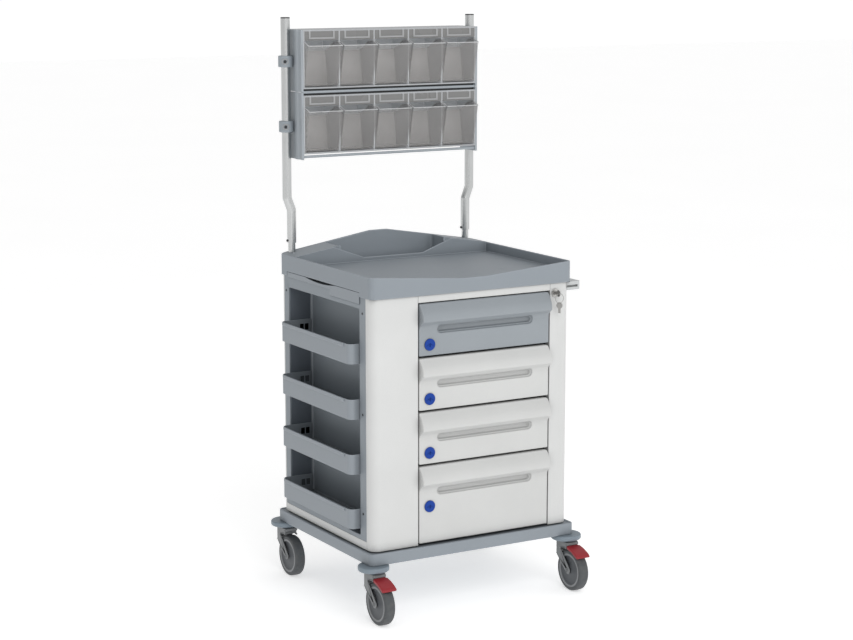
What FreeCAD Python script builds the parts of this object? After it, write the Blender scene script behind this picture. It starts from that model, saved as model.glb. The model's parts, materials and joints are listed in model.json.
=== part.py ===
"""Medication cart on four swivel casters.

The frame is +Z up with the floor at Z = 0, +X to the cart's right and -Y to its front.
Every piece is drawn about the middle of the cabinet and then moved back by FOOTPRINT_SHIFT,
which puts the middle of the whole footprint, front wheels included, on the origin.
"""
import FreeCAD, Part
import math
import os
import re
import Sketcher

DIMENSIONS = [
    # casters and base
    ("wheel_dia", 125, "caster wheel"),
    ("tread_wide", 32, "width of the tyre"),
    ("rim_dia", 100, "seat of the tyre on the wheel's core"),
    ("tyre_side", 7, "height of the tyre's rounded shoulder"),
    ("tyre_edge", 2.5, "middle of the tyre's shoulder, in from its width and its diameter"),
    ("tyre_crown", 8, "edge of the tyre's flat tread, in from its side"),
    ("rim_step", 12, "height of the wheel core's raised rim"),
    ("rim_set", 0.5, "rim of the wheel's core, in from the tyre's side"),
    ("core_dish", 2, "web of the wheel's core, in from the tyre's side"),
    ("axle_dia", 10, "wheel axle"),
    ("stem_dia", 16, "swivel stem"),
    ("caster_x", 334, "swivel stem, from the middle"),
    ("caster_y", 284, "swivel stem, from the middle"),
    ("fork_trail", 41, "axle ahead of the stem"),
    ("fork_wide", 42, "outside of the fork"),
    ("slot_wide", 34, "wheel slot of the fork"),
    ("fork_top", 148, "top of the fork's crown"),
    ("bumper_dia", 92, "bumper disc under each base corner"),
    ("bumper_low", 151, "underside of the bumper disc"),
    ("running_gap", 0.05, "radial clearance of a running fit"),
    ("base_wide", 704, "base tray, side to side"),
    ("base_deep", 604, "base tray, front to back"),
    ("base_low", 167, "underside of the base tray"),
    ("base_top", 202, "rim of the base tray"),
    ("base_corner", 18, "corner radius of the base tray"),
    ("base_wall", 8, "wall of the base tray"),
    ("seat_drop", 3, "depth of the seat inside the base rim"),
    ("corner_block", 78, "solid corner that holds the stem"),
    ("base_skin", 5, "thickness of the base tray's floor"),
    ("stem_cap", 8, "solid above a stem"),
    ("crown_back", 24, "rear face of the fork's crown, behind the stem"),
    ("crown_low", 105, "lower end of the crown's rear face"),
    ("crown_nose", 38, "nose of the crown and hinge of the pedal, ahead of the stem"),
    ("crown_under", 127.5, "underside of the crown above the tyre"),
    ("crown_bend", 122.3, "start of the fork's front edge"),
    ("boss_dia", 22, "boss round the axle"),
    ("boss_across", 8.1, "fork's edges where they meet the boss, from the axle"),
    ("boss_down", 7.4, "fork's edges where they meet the boss, above and below the axle"),
    ("tyre_gap", 4, "gap between tyre and fork"),
    ("axle_head", 1.5, "head of the axle outside the fork"),
    ("collar_dia", 40, "bearing collar on the crown"),
    ("hinge_high", 133, "hinge of the brake pedal"),
    ("hinge_dia", 10, "hub of the brake pedal"),
    ("pedal_wide", 47, "width of the brake pedal"),
    ("pedal_root", 137.6, "top of the pedal at its hinge"),
    ("pedal_fall", 121.5, "top of the pedal near its tip"),
    ("pedal_reach", 97, "tip of the pedal, ahead of the stem"),
    ("pedal_tip", 111, "lowest point of the pedal"),
    # cabinet
    ("body_half", 338, "cabinet side, from the middle"),
    ("front_face", 285, "cabinet front, from the middle"),
    ("rear_face", 273, "cabinet back, from the middle"),
    ("panel_low", 203, "lower edge of the outer panels"),
    ("panel_top", 941.7, "upper edge of the outer panels"),
    ("skin", 2.5, "thickness of an outer panel"),
    ("column_skin", 4, "thickness of a front column"),
    ("column_corner", 27, "outer corner radius of a front column"),
    ("column_return", 23, "depth of a column's return beside the drawers"),
    ("column_back", 250, "rear edge of a column on the cabinet's side"),
    ("steel_sheet", 1.5, "sheet of the inner carcass"),
    ("deck_low", 956.5, "underside of the carcass deck"),
    ("bay_left", 185, "left edge of the drawer opening, from the middle"),
    ("bay_right", 267, "right edge of the drawer opening, from the middle"),
    ("bay_clear", 1.5, "carcass wall, outside the drawer opening"),
    ("carcass_back", 8, "rear edge of the carcass, inside the cabinet's back"),
    ("panel_seam", 0.3, "gap between two outer panels"),
    ("rear_fold", 7, "return of the rear panel round a corner"),
    ("frame_low", 227, "lower edge of the side frame"),
    ("sill_gap", 0.5, "gap between sill and side frame"),
    ("frame_skin", 4, "thickness of the side frame"),
    ("tub_front", 214, "front edge of the side compartment"),
    ("tub_back", 236.5, "rear edge of the side compartment"),
    ("tub_low", 240, "floor of the side compartment"),
    ("tub_top", 907.5, "ceiling of the side compartment"),
    ("tub_wall_x", 258, "rear wall of the side compartment, from the middle"),
    ("tub_skin", 3, "wall of the side compartment"),
    # drawers
    ("drawer_line", 921, "top edge of the first drawer"),
    ("drawer_pitch", 160, "height step of the drawers"),
    ("drawer_gap", 6, "gap between two drawer fronts"),
    ("deep_front", 231, "height of the lowest drawer front"),
    ("side_gap", 3, "gap beside a drawer front"),
    ("front_thick", 18, "thickness of a drawer front"),
    ("grip_proud", 22, "reach of the grip canopy"),
    ("grip_drop", 50, "lowest point of the grip canopy, from the top edge"),
    ("grip_under", 72, "foot of the canopy's underside, from the top edge"),
    ("grip_draft", 3, "draft of the canopy's end walls"),
    ("slot_half", 164, "half length of the finger recess"),
    ("slot_x", 42, "middle of the finger recess"),
    ("slot_drop", 77.5, "middle of the finger recess, from the top edge"),
    ("slot_high", 26, "height of the finger recess"),
    ("slot_depth", 12, "depth of the finger recess"),
    ("disc_dia", 35, "drawer lock disc"),
    ("disc_x", 147, "drawer lock disc, left of the middle"),
    ("disc_drop", 124, "drawer lock disc, from the top edge"),
    ("disc_proud", 3, "thickness of the lock disc"),
    ("box_deep", 507, "drawer box, front to back"),
    ("box_skin", 2, "drawer box wall"),
    ("box_low", 6, "drawer box, above the front's lower edge"),
    ("box_drop", 27, "drawer box, below the front's upper edge"),
    ("runner_wide", 5.5, "width of one runner member"),
    ("runner_high", 36, "height of a runner"),
    ("runner_rise", 12, "runner above the foot of the drawer box"),
    ("runner_play", 0.5, "gap between two runner members"),
    # worktop
    ("tray_wide", 684, "worktop, side to side"),
    ("tray_deep", 582, "worktop, front to back"),
    ("tray_low", 942, "lower edge of the skirt"),
    ("tray_rim", 1005, "top of the rim"),
    ("tray_floor", 976, "working surface"),
    ("tray_skin", 6, "wall of the worktop"),
    ("rim_thick", 7, "thickness of the rim"),
    ("tray_corner", 20, "outer corner radius of the worktop"),
    ("tray_inner_corner", 13, "inner corner radius of the rim"),
    ("dip_flat", 40, "half length of the low stretch of the front rim"),
    ("dip_low", 983, "lowest height of the front rim"),
    ("dip_end", 325, "outer end of the front rim's slope"),
    ("rear_front", 187, "front face of the raised rear zone"),
    ("rear_peak", 1056, "peak of the rear wall"),
    ("rear_peak_flat", 30, "half length of the peak"),
    ("saddle_half", 103, "half length of the low stretch of the divider"),
    ("saddle_end", 203, "peak of the divider, from the middle"),
    ("saddle_low", 988, "lowest height of the divider"),
    ("divider_thick", 6, "thickness of the divider"),
    ("recess_half", 190, "half length of the rear recess"),
    ("recess_back", 280, "rear wall of the recess"),
    ("recess_floor", 968, "floor of the rear recess"),
    # posts and rack
    ("post_dia", 28, "post tube"),
    ("post_wall", 1.5, "wall of the post tube"),
    ("post_y", 271.5, "posts, from the middle"),
    ("post_low_x", 308.5, "posts below the crank, from the middle"),
    ("post_top_x", 322.5, "posts above the crank, from the middle"),
    ("post_foot", 1038, "lower end of the post tube"),
    ("spigot_dia", 22, "spigot between tube and worktop"),
    ("spigot_foot", 962, "lower end of the spigot"),
    ("spigot_grip", 40, "spigot inside the post tube"),
    ("crank_low", 1138, "lower bend of the post"),
    ("crank_top", 1175.5, "upper bend of the post"),
    ("post_top", 1715, "upper end of the post tube"),
    ("plug_thick", 3, "end plug of the post"),
    ("rack_half", 300, "half width of the bin rack"),
    ("rack_front", 198, "front plane of the bin rack"),
    ("rack_deep", 106, "depth of the bin rack"),
    ("unit_high", 175, "height of one bin unit"),
    ("lower_unit", 1312, "underside of the lower bin unit"),
    ("upper_unit", 1507, "underside of the upper bin unit"),
    ("unit_wall", 4, "walls of a bin unit"),
    ("unit_skin", 2.5, "rear wall and front strip of a bin unit"),
    ("strip_high", 28, "front strip above the bins"),
    ("bin_pitch", 119.2, "step of the tilting bins"),
    ("bin_wide", 113.6, "width of a tilting bin"),
    ("bin_wall", 2, "wall of a tilting bin"),
    ("bin_pivot_y", 6, "pivot of a tilting bin, behind the rack's front"),
    ("bin_pivot_z", 10, "pivot of a tilting bin, above the unit's underside"),
    ("pivot_dia", 4, "pivot stub of a tilting bin"),
    ("lip_proud", 27, "reach of a tilting bin's lip"),
    ("lip_drop", 47, "lip below the unit's top"),
    ("bin_foot", 8, "floor of a tilting bin, above the unit's underside"),
    ("bin_deep", 84, "rear edge of a tilting bin, behind the rack's front"),
    ("bin_back", 108, "height of a tilting bin's rear wall"),
    ("bin_floor_deep", 70, "rear end of a tilting bin's floor"),
    ("holder_half", 43, "half width of a label holder"),
    ("holder_low", 27, "foot of a label holder, below the unit's top"),
    ("holder_bar", 5, "width of a label holder's bars"),
    ("end_plate", 2.5, "sheet of the rack's end plates"),
    ("end_rib", 7, "folded rib of an end plate"),
    ("end_foot", 1295, "lower edge of the lower end plates"),
    ("end_deep", 92, "depth of the end plates"),
    ("clamp_high", 34, "height of a post clamp"),
    ("clamp_dia", 45, "outside of a post clamp"),
    ("clamp_upper", 1587, "middle of the upper clamps"),
    ("clamp_lower", 1392, "middle of the lower clamps"),
    ("clamp_front", 222, "front end of a clamp's arm"),
    ("clamp_back", 12, "rear end of a clamp's arm, behind the post's middle"),
    ("rail_dia", 8, "cross rail of the rack"),
    ("seal_set", 12, "seal between the bin units, behind the rack's front"),
    ("seal_thick", 2, "thickness of the seal between the bin units"),
    # side bins, shelf and handle
    ("lip_line", 805.5, "lip of the top side bin"),
    ("side_pitch", 162.5, "height step of the side bins"),
    ("side_bin_out", 370, "outer face of a side bin, from the middle"),
    ("side_bin_in", 264.5, "inner face of a side bin, from the middle"),
    ("side_bin_front", 211, "front end of a side bin"),
    ("side_bin_back", 233, "rear end of a side bin"),
    ("side_bin_high", 59, "height of a side bin"),
    ("side_bin_wall", 2.5, "wall of a side bin"),
    ("lip_high", 8, "height of a side bin's lip"),
    ("lip_out", 3, "overhang of a side bin's lip"),
    ("lip_stop", 32, "end of a side bin's lip, from the bin's front end"),
    ("bin_corner", 18, "outer corner radius of a side bin"),
    ("bin_sill", 10, "height of a side bin's low rear wall"),
    ("hook_half", 19, "half width of a hook plate"),
    ("hook_x", 290, "middle of a hook plate, from the cart's middle"),
    ("hook_low", 36, "foot of a hook plate, below a bin's lip"),
    ("hook_high", 10, "top of a hook plate, below a bin's lip"),
    ("hook_thick", 2.5, "thickness of a hook plate"),
    ("shelf_out", 341, "outer face of the pull-out shelf, from the middle"),
    ("shelf_in", 60, "inner end of the pull-out shelf, right of the middle"),
    ("shelf_front", 217, "front end of the shelf"),
    ("shelf_back", 240, "rear end of the shelf"),
    ("shelf_step", 37, "end of the shelf face's deep stretch"),
    ("shelf_top", 954.5, "top of the shelf's face"),
    ("shelf_face_low", 921.5, "lower edge of the deep stretch"),
    ("shelf_slab_low", 939, "underside of the shelf"),
    ("shelf_slab", 11, "thickness of the shelf"),
    ("shelf_face", 5, "thickness of the shelf's face"),
    ("scoop_radius", 640, "arc of the finger scoop"),
    ("scoop_y", 25, "middle of the finger scoop"),
    ("scoop_drop", 7, "depth of the finger scoop"),
    ("scoop_reach", 14, "finger scoop, behind the shelf's face"),
    ("handle_reach", 42, "push handle, out from the cabinet"),
    ("handle_bar", 17, "width of the push handle's bar"),
    ("handle_top", 941, "top of the push handle"),
    ("handle_high", 26, "height of the push handle"),
    ("handle_back", 190, "rear end of the push handle"),
    ("handle_set", 8, "front end of the push handle, behind the cabinet's front"),
    ("handle_wrap", 14, "push handle, in past the cabinet's side at its front corner"),
    ("handle_round", 6, "outer corners of the push handle"),
    ("notch_deep", 8, "depth of the notch in the handle's front end"),
    ("notch_end", 9, "outer end of the notch, from the handle's outer face"),
    ("notch_low", 9, "foot of the notch, above the handle's foot"),
    ("notch_top", 15, "top of the notch, above the handle's foot"),
    ("lock_x", 284, "cabinet lock, right of the middle"),
    ("lock_z", 913, "height of the cabinet lock"),
    ("lock_dia", 22, "barrel of the cabinet lock"),
    ("plug_dia", 12, "turning plug of the cabinet lock"),
    ("plug_out", 3.6, "front of the turning plug, ahead of the column"),
    ("flange_out", 3, "thickness of the lock's flange"),
    ("key_ahead", 19, "middle of the key's bow, ahead of the column"),
    ("ring_ahead", 25, "hole in the key's bow, ahead of the column"),
    ("bow_dia", 20, "bow of a key"),
    ("blade_wide", 7, "blade of a key"),
    ("key_thick", 2, "thickness of a key"),
    ("spare_blade", 16, "length of the spare key's blade"),
    ("ring_radius", 14, "split ring, to the middle of its wire"),
    ("ring_wire", 0.8, "radius of the split ring's wire"),
]

FOOTPRINT_SHIFT = "(fork_trail + wheel_dia / 2 - bumper_dia / 2) / 2"
NEAR = 0.6
PARALLEL = 1e-6
SPARE_KEY_TURN = -55
SIDES = (("left", -1), ("right", 1))
ENDS = (("front", -1), ("rear", 1))

doc = FreeCAD.newDocument("MedicationCart")
sheet = doc.addObject("Spreadsheet::Sheet", "Dims")
nodes = []


def fill_sheet():
    """Write one row per driving dimension: its name, its value and what it measures."""
    for row, (alias, size, note) in enumerate(DIMENSIONS, 1):
        sheet.set(f"A{row}", alias)
        sheet.set(f"B{row}", str(size))
        sheet.set(f"C{row}", note)
        sheet.setAlias(f"B{row}", alias)
    doc.recompute()


ALIASES = {alias for alias, size, note in DIMENSIONS}


def bound(text):
    """Turn the words of a formula into references to the sheet."""
    def referred(found):
        word = found.group()
        return f"Dims.{word}" if word in ALIASES else word

    return re.sub(r"[a-z_]{3,}", referred, str(text))


def value(text):
    """The present value of a formula, in millimetres."""
    return float(sheet.evalExpression(bound(text)))


def place(thing, x="0", y="0", z="0"):
    """Bind an object's position, with the whole cart's shift added to Y."""
    thing.setExpression("Placement.Base.x", bound(x))
    thing.setExpression("Placement.Base.y", bound(f"{y} + {FOOTPRINT_SHIFT}"))
    thing.setExpression("Placement.Base.z", bound(z))


def keep(thing, label):
    """Name an object as a sub-part of the cart."""
    thing.Label = label
    nodes.append(thing)
    return thing


def box_points(low_u, high_u, low_v, high_v):
    """The four corners of a rectangle."""
    return [(low_u, low_v), (high_u, low_v), (high_u, high_v), (low_u, high_v)]


def middle_box(wide, deep):
    """A rectangle about the middle."""
    return box_points(f"-({wide}) / 2", f"({wide}) / 2", f"-({deep}) / 2", f"({deep}) / 2")


def mirrored(points, side):
    """The same outline on the left (-1) or right (1) of the middle."""
    return [(f"{side} * ({u})", v) for u, v in points]


def span(low, high, side):
    """A range of X that is given on the right, moved to the chosen side."""
    return (low, high) if side > 0 else (f"-({high})", f"-({low})")


class Circle:
    """A full circle in a sketch: its middle and its radius, as formulas."""

    def __init__(self, u, v, radius):
        self.u = u
        self.v = v
        self.radius = radius


class Piece:
    """A PartDesign body that is padded, cut, turned and rounded step by step."""

    def __init__(self, label, x="0", y="0", z="0"):
        self.body = doc.addObject("PartDesign::Body", label)
        self.label = label
        self.planes = {plane.Role: plane for plane in self.body.Origin.OriginFeatures}
        place(self.body, x, y, z)

    def sketch(self, plane, offset, loops):
        """Draw closed loops on an origin plane, each point tied to its formulas."""
        drawing = self.body.newObject("Sketcher::SketchObject", f"{self.label}_sketch")
        drawing.AttachmentSupport = [(self.planes[f"{plane}_Plane"], "")]
        drawing.MapMode = "FlatFace"
        drawing.setExpression("AttachmentOffset.Base.z", bound(offset))
        for loop in loops:
            if isinstance(loop, Circle):
                self.draw_circle(drawing, loop)
            else:
                self.draw_polygon(drawing, loop)
        return drawing

    def fix_point(self, drawing, index, end, u, v):
        """Tie one point of a sketch to the origin in both directions."""
        for kind, formula in (("DistanceX", u), ("DistanceY", v)):
            rule = drawing.addConstraint(Sketcher.Constraint(kind, -1, 1, index, end, value(formula)))
            drawing.setExpression(f"Constraints[{rule}]", bound(formula))

    def draw_polygon(self, drawing, points):
        """A closed outline of straight lines."""
        first = drawing.GeometryCount
        spots = [FreeCAD.Vector(value(u), value(v), 0) for u, v in points]
        for start, stop in zip(spots, spots[1:] + spots[:1]):
            drawing.addGeometry(Part.LineSegment(start, stop), False)
        count = len(points)
        for index in range(count):
            following = first + (index + 1) % count
            drawing.addConstraint(Sketcher.Constraint("Coincident", first + index, 2, following, 1))
        for index, (u, v) in enumerate(points):
            self.fix_point(drawing, first + index, 1, u, v)

    def draw_circle(self, drawing, circle):
        """A circle with its middle and its radius tied to formulas."""
        middle = FreeCAD.Vector(value(circle.u), value(circle.v), 0)
        shape = Part.Circle(middle, FreeCAD.Vector(0, 0, 1), value(circle.radius))
        index = drawing.addGeometry(shape, False)
        self.fix_point(drawing, index, 3, circle.u, circle.v)
        rule = drawing.addConstraint(Sketcher.Constraint("Radius", index, value(circle.radius)))
        drawing.setExpression(f"Constraints[{rule}]", bound(circle.radius))

    def pad(self, plane, low, high, *loops):
        """Add material between two distances from an origin plane."""
        start = f"-({high})" if plane == "XZ" else low
        feature = self.body.newObject("PartDesign::Pad", f"{self.label}_pad")
        feature.Profile = self.sketch(plane, start, loops)
        feature.setExpression("Length", bound(f"({high}) - ({low})"))
        doc.recompute()
        return self

    def cut(self, plane, low, high, *loops):
        """Take material away between two distances from an origin plane."""
        before = self.body.Shape.Volume
        start = f"-({low})" if plane == "XZ" else high
        feature = self.body.newObject("PartDesign::Pocket", f"{self.label}_pocket")
        feature.Profile = self.sketch(plane, start, loops)
        feature.setExpression("Length", bound(f"({high}) - ({low})"))
        doc.recompute()
        if not self.body.Shape.Volume < before:
            raise ValueError(f"a pocket of {self.label} cuts nothing")
        return self

    def turn(self, plane, axis, loop):
        """Turn an outline a full circle about an origin axis."""
        feature = self.body.newObject("PartDesign::Revolution", f"{self.label}_turn")
        feature.Profile = self.sketch(plane, "0", [loop])
        feature.ReferenceAxis = (self.planes[f"{axis}_Axis"], [""])
        feature.Angle = 360
        doc.recompute()
        return self

    def round(self, radius, chosen):
        """Round every edge of the tip that the test picks out."""
        tip = self.body.Tip
        edges = [f"Edge{number}" for number, edge in enumerate(tip.Shape.Edges, 1) if chosen(edge)]
        if not edges:
            raise ValueError(f"no edge to round on {self.label}")
        feature = self.body.newObject("PartDesign::Fillet", f"{self.label}_round")
        feature.Base = (tip, edges)
        feature.setExpression("Radius", bound(radius))
        doc.recompute()
        return self

    def done(self):
        """Keep the body as a sub-part under its own name."""
        return keep(self.body, self.label)


AXES = {"X": 0, "Y": 1, "Z": 2}


def along(axis, *spots):
    """Pick straight edges along an axis, all of them or those through spots in the plane across it."""
    across = [number for name, number in AXES.items() if name != axis]
    wanted = [(value(u), value(v)) for u, v in spots]

    def chosen(edge):
        if not isinstance(edge.Curve, Part.Line):
            return False
        if abs(abs(edge.Curve.Direction[AXES[axis]]) - 1) > PARALLEL:
            return False
        first, second = (edge.CenterOfMass[number] for number in across)
        return not wanted or any(abs(first - u) < NEAR and abs(second - v) < NEAR for u, v in wanted)

    return chosen


def level(height):
    """Pick edges that lie in the level plane at a height."""
    wanted = value(height)

    def chosen(edge):
        return abs(edge.BoundBox.ZMin - wanted) < NEAR and abs(edge.BoundBox.ZMax - wanted) < NEAR

    return chosen


def block(name, low_x, high_x, low_y, high_y, low_z, high_z):
    """A plain box between two corners."""
    part = doc.addObject("Part::Box", name)
    part.setExpression("Length", bound(f"({high_x}) - ({low_x})"))
    part.setExpression("Width", bound(f"({high_y}) - ({low_y})"))
    part.setExpression("Height", bound(f"({high_z}) - ({low_z})"))
    place(part, low_x, low_y, low_z)
    return part


TURNS = {
    "X": FreeCAD.Rotation(FreeCAD.Vector(0, 1, 0), 90),
    "Y": FreeCAD.Rotation(FreeCAD.Vector(1, 0, 0), -90),
    "Z": FreeCAD.Rotation(),
}


def rod(name, axis, radius, length, x, y, z):
    """A plain cylinder that starts at a point and runs along +X, +Y or +Z."""
    part = doc.addObject("Part::Cylinder", name)
    part.setExpression("Radius", bound(radius))
    part.setExpression("Height", bound(length))
    part.Placement = FreeCAD.Placement(FreeCAD.Vector(), TURNS[axis])
    place(part, x, y, z)
    return part


def group(label, members):
    """Several separate solids that share one sub-part."""
    part = doc.addObject("Part::Compound", label)
    part.Links = members
    doc.recompute()
    return keep(part, label)


# ---------------------------------------------------------------- base and casters


def base_chassis():
    """Moulded base tray with a raised rim, hollow below but for its four stem blocks."""
    piece = Piece("base_chassis")
    piece.pad("XY", "base_low", "base_top", middle_box("base_wide", "base_deep"))
    piece.round("base_corner", along("Z"))
    piece.round("3", level("base_top"))
    piece.cut("XY", "base_top - seat_drop", "base_top",
              middle_box("base_wide - 2 * base_wall", "base_deep - 2 * base_wall"))
    wide = "(base_wide / 2 - base_wall)"
    deep = "(base_deep / 2 - base_wall)"
    inner_u = f"({wide} - corner_block)"
    inner_v = f"({deep} - corner_block)"
    outline = [(inner_u, deep), (inner_u, inner_v), (wide, inner_v)]
    hollow = outline + [(u, f"-{v}") for u, v in reversed(outline)]
    hollow = hollow + [(f"-{u}", v) for u, v in reversed(hollow)]
    piece.cut("XY", "base_low", "base_top - seat_drop - base_skin", hollow)
    stems = [Circle(f"{x} * caster_x", f"{y} * caster_y", "stem_dia / 2 + running_gap")
             for x in (-1, 1) for y in (-1, 1)]
    piece.cut("XY", "base_low", "base_top - seat_drop - stem_cap", *stems)
    return piece.done()


def corner_bumpers():
    """Soft discs round the stems, just under the base."""
    discs = []
    for side_name, x in SIDES:
        for end_name, y in ENDS:
            piece = Piece(f"bumper_{end_name}_{side_name}", f"{x} * caster_x", f"{y} * caster_y")
            piece.pad("XY", "bumper_low", "base_low", Circle("0", "0", "bumper_dia / 2"))
            piece.round("6", level("bumper_low"))
            piece.round("4", level("base_low"))
            piece.cut("XY", "bumper_low", "base_low", Circle("0", "0", "stem_dia / 2 + running_gap"))
            discs.append(piece.body)
    return group("corner_bumpers", discs)


def caster_fork(label, x, y):
    """Swivel fork: stem, bearing collar, crown and two arms that slope forward to the axle."""
    axle = ("-fork_trail", "wheel_dia / 2")
    half = "fork_wide / 2"
    crown = [("crown_back", "fork_top"), ("crown_back", "crown_low"),
             ("-fork_trail + boss_across", "wheel_dia / 2 - boss_down"),
             ("-fork_trail - boss_across", "wheel_dia / 2 + boss_down"),
             ("-1", "crown_bend"), ("-1", "crown_under"), ("-crown_nose", "crown_under"),
             ("-crown_nose", "fork_top - 3"), ("-crown_nose + 3", "fork_top")]
    piece = Piece(label, f"{x} * caster_x", f"{y} * caster_y")
    piece.pad("YZ", f"-{half}", half, crown)
    piece.pad("YZ", f"-{half}", half, Circle(*axle, "boss_dia / 2"))
    piece.round("7", along("Z", (f"-{half}", "crown_back"), (half, "crown_back")))
    piece.cut("YZ", "-slot_wide / 2", "slot_wide / 2", Circle(*axle, "wheel_dia / 2 + tyre_gap"))
    piece.pad("YZ", f"-{half} - axle_head", f"{half} + axle_head", Circle(*axle, "axle_dia / 2"))
    piece.pad("XY", "fork_top - 2", "bumper_low - 0.3", Circle("0", "0", "collar_dia / 2"))
    piece.pad("XY", "fork_top - 2", "base_top - seat_drop - stem_cap - 1", Circle("0", "0", "stem_dia / 2"))
    piece.cut("YZ", f"-{half}", half, Circle("-crown_nose", "hinge_high", "hinge_dia / 2 + 0.6"))
    return piece.done()


def caster_wheel(label, x, y):
    """Rubber tyre and moulded core, turning on the fork's axle."""
    middle = (f"{x} * caster_x", f"{y} * caster_y - fork_trail", "wheel_dia / 2")
    tread = "tread_wide / 2"
    outer = "wheel_dia / 2"
    seat = "rim_dia / 2"
    tyre = Piece(f"{label}_tyre", *middle)
    tyre.turn("XZ", "X", [(f"-{tread}", seat), (f"{tread}", seat), (f"{tread}", f"{outer} - tyre_side"),
                          (f"{tread} - tyre_edge", f"{outer} - tyre_edge"),
                          (f"{tread} - tyre_crown", outer), (f"tyre_crown - {tread}", outer),
                          (f"tyre_edge - {tread}", f"{outer} - tyre_edge"),
                          (f"-{tread}", f"{outer} - tyre_side")])
    core = Piece(f"{label}_core", *middle)
    bore = "axle_dia / 2 + running_gap"
    web = f"{seat} - rim_step"
    ring = f"{web} + core_dish"
    core.turn("XZ", "X", [(f"core_dish - {tread}", bore), (f"{tread} - core_dish", bore),
                          (f"{tread} - core_dish", web), (f"{tread} - rim_set", ring),
                          (f"{tread} - rim_set", seat), (f"rim_set - {tread}", seat),
                          (f"rim_set - {tread}", ring), (f"core_dish - {tread}", web)])
    return group(label, [tyre.body, core.body])


def brake_pedal(label, x):
    """Foot pedal that hinges in the crown's nose and sits over the tyre."""
    piece = Piece(label, f"{x} * caster_x", "-caster_y")
    blade = [("-crown_nose - 2", "pedal_root"), ("-pedal_reach + 7", "pedal_fall"),
             ("-pedal_reach + 1", "pedal_tip + 5"), ("-pedal_reach", "pedal_tip + 1"),
             ("-pedal_reach + 4", "pedal_tip"), ("-66", "124"), ("-crown_nose - 3", "hinge_high - 4")]
    piece.pad("YZ", "-pedal_wide / 2", "pedal_wide / 2", blade)
    piece.pad("YZ", "-fork_wide / 2 + 1", "fork_wide / 2 - 1",
              Circle("-crown_nose", "hinge_high", "hinge_dia / 2"))
    return piece.done()


def casters():
    """Four swivel casters; the two front ones carry a brake pedal."""
    for end_name, y in ENDS:
        for side_name, x in SIDES:
            caster_fork(f"caster_fork_{end_name}_{side_name}", x, y)
            caster_wheel(f"wheel_{end_name}_{side_name}", x, y)
    for side_name, x in SIDES:
        brake_pedal(f"brake_pedal_{side_name}", x)


# ---------------------------------------------------------------- cabinet


def inner_carcass():
    """Steel floor, top deck and the two walls that carry the drawer runners."""
    deck_half = "body_half - frame_skin - 3"
    floor = block("carcass_floor", f"-({deck_half} - 10)", f"{deck_half} - 10", "-rear_face + 15",
                  "rear_face - carcass_back", "base_top - seat_drop", "base_top - seat_drop + steel_sheet")
    deck = block("carcass_deck", f"-({deck_half})", deck_half, "-rear_face + 3", "tray_deep / 2 - 30",
                 "deck_low", "deck_low + steel_sheet")
    foot = "base_top - seat_drop + steel_sheet"
    left = block("carcass_left", "-bay_left - bay_clear - steel_sheet", "-bay_left - bay_clear",
                 "-front_face + column_return + 2", "rear_face - carcass_back", foot, "drawer_line - 3")
    right = block("carcass_right", "bay_right + bay_clear", "bay_right + bay_clear + steel_sheet",
                  "-front_face + column_return + 2", "rear_face - carcass_back", foot, "deck_low")
    return group("inner_carcass", [floor, deck, left, right])


def rear_panel():
    """Back sheet, folded forward round both rear corners."""
    piece = Piece("rear_panel")
    outer = "body_half"
    inner = "body_half - skin"
    fold = "rear_face - rear_fold"
    piece.pad("XY", "panel_low", "panel_top",
              [(f"-({outer})", fold), (f"-({inner})", fold), (f"-({inner})", "rear_face - skin"),
               (inner, "rear_face - skin"), (inner, fold), (outer, fold), (outer, "rear_face"),
               (f"-({outer})", "rear_face")])
    piece.round("2.4", along("Z", ("body_half", "rear_face"), ("-body_half", "rear_face")))
    return piece.done()


def front_column(label, side, opening):
    """Front corner column that also closes the first strip of the cabinet's side."""
    piece = Piece(label)
    outer = "body_half"
    inner = "body_half - column_skin"
    points = [(opening, "-front_face + column_return"), (opening, "-front_face"), (outer, "-front_face"),
              (outer, "-column_back"), (inner, "-column_back"), (inner, "-front_face + column_skin"),
              (f"{opening} + column_skin", "-front_face + column_skin"),
              (f"{opening} + column_skin", "-front_face + column_return")]
    piece.pad("XY", "panel_low", "panel_top", mirrored(points, side))
    piece.round("column_corner", along("Z", (f"{side} * body_half", "-front_face")))
    piece.round("column_corner - column_skin",
                along("Z", (f"{side} * ({inner})", "-front_face + column_skin")))
    piece.round("2", along("Z", (f"{side} * {opening}", "-front_face")))
    if side > 0:
        piece.cut("XZ", "-front_face - 1", "-front_face + column_skin + 1",
                  Circle("lock_x", "lock_z", "lock_dia / 2 + running_gap"))
    return piece.done()


def plain_panels():
    """Flat pieces of the cabinet: right side, top rail and sill."""
    near = "-column_back + panel_seam"
    far = "rear_face - rear_fold - panel_seam"
    keep(block("right_panel", "body_half - skin", "body_half", near, far, "panel_low", "panel_top"),
         "right_panel")
    keep(block("front_top_rail", "-bay_left + panel_seam", "bay_right - panel_seam", "-front_face",
               "-front_face + column_return", "drawer_line", "panel_top"), "front_top_rail")
    keep(block("side_sill", "-body_half", "-body_half + skin", near, far, "panel_low",
               "frame_low - sill_gap"), "side_sill")


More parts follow.
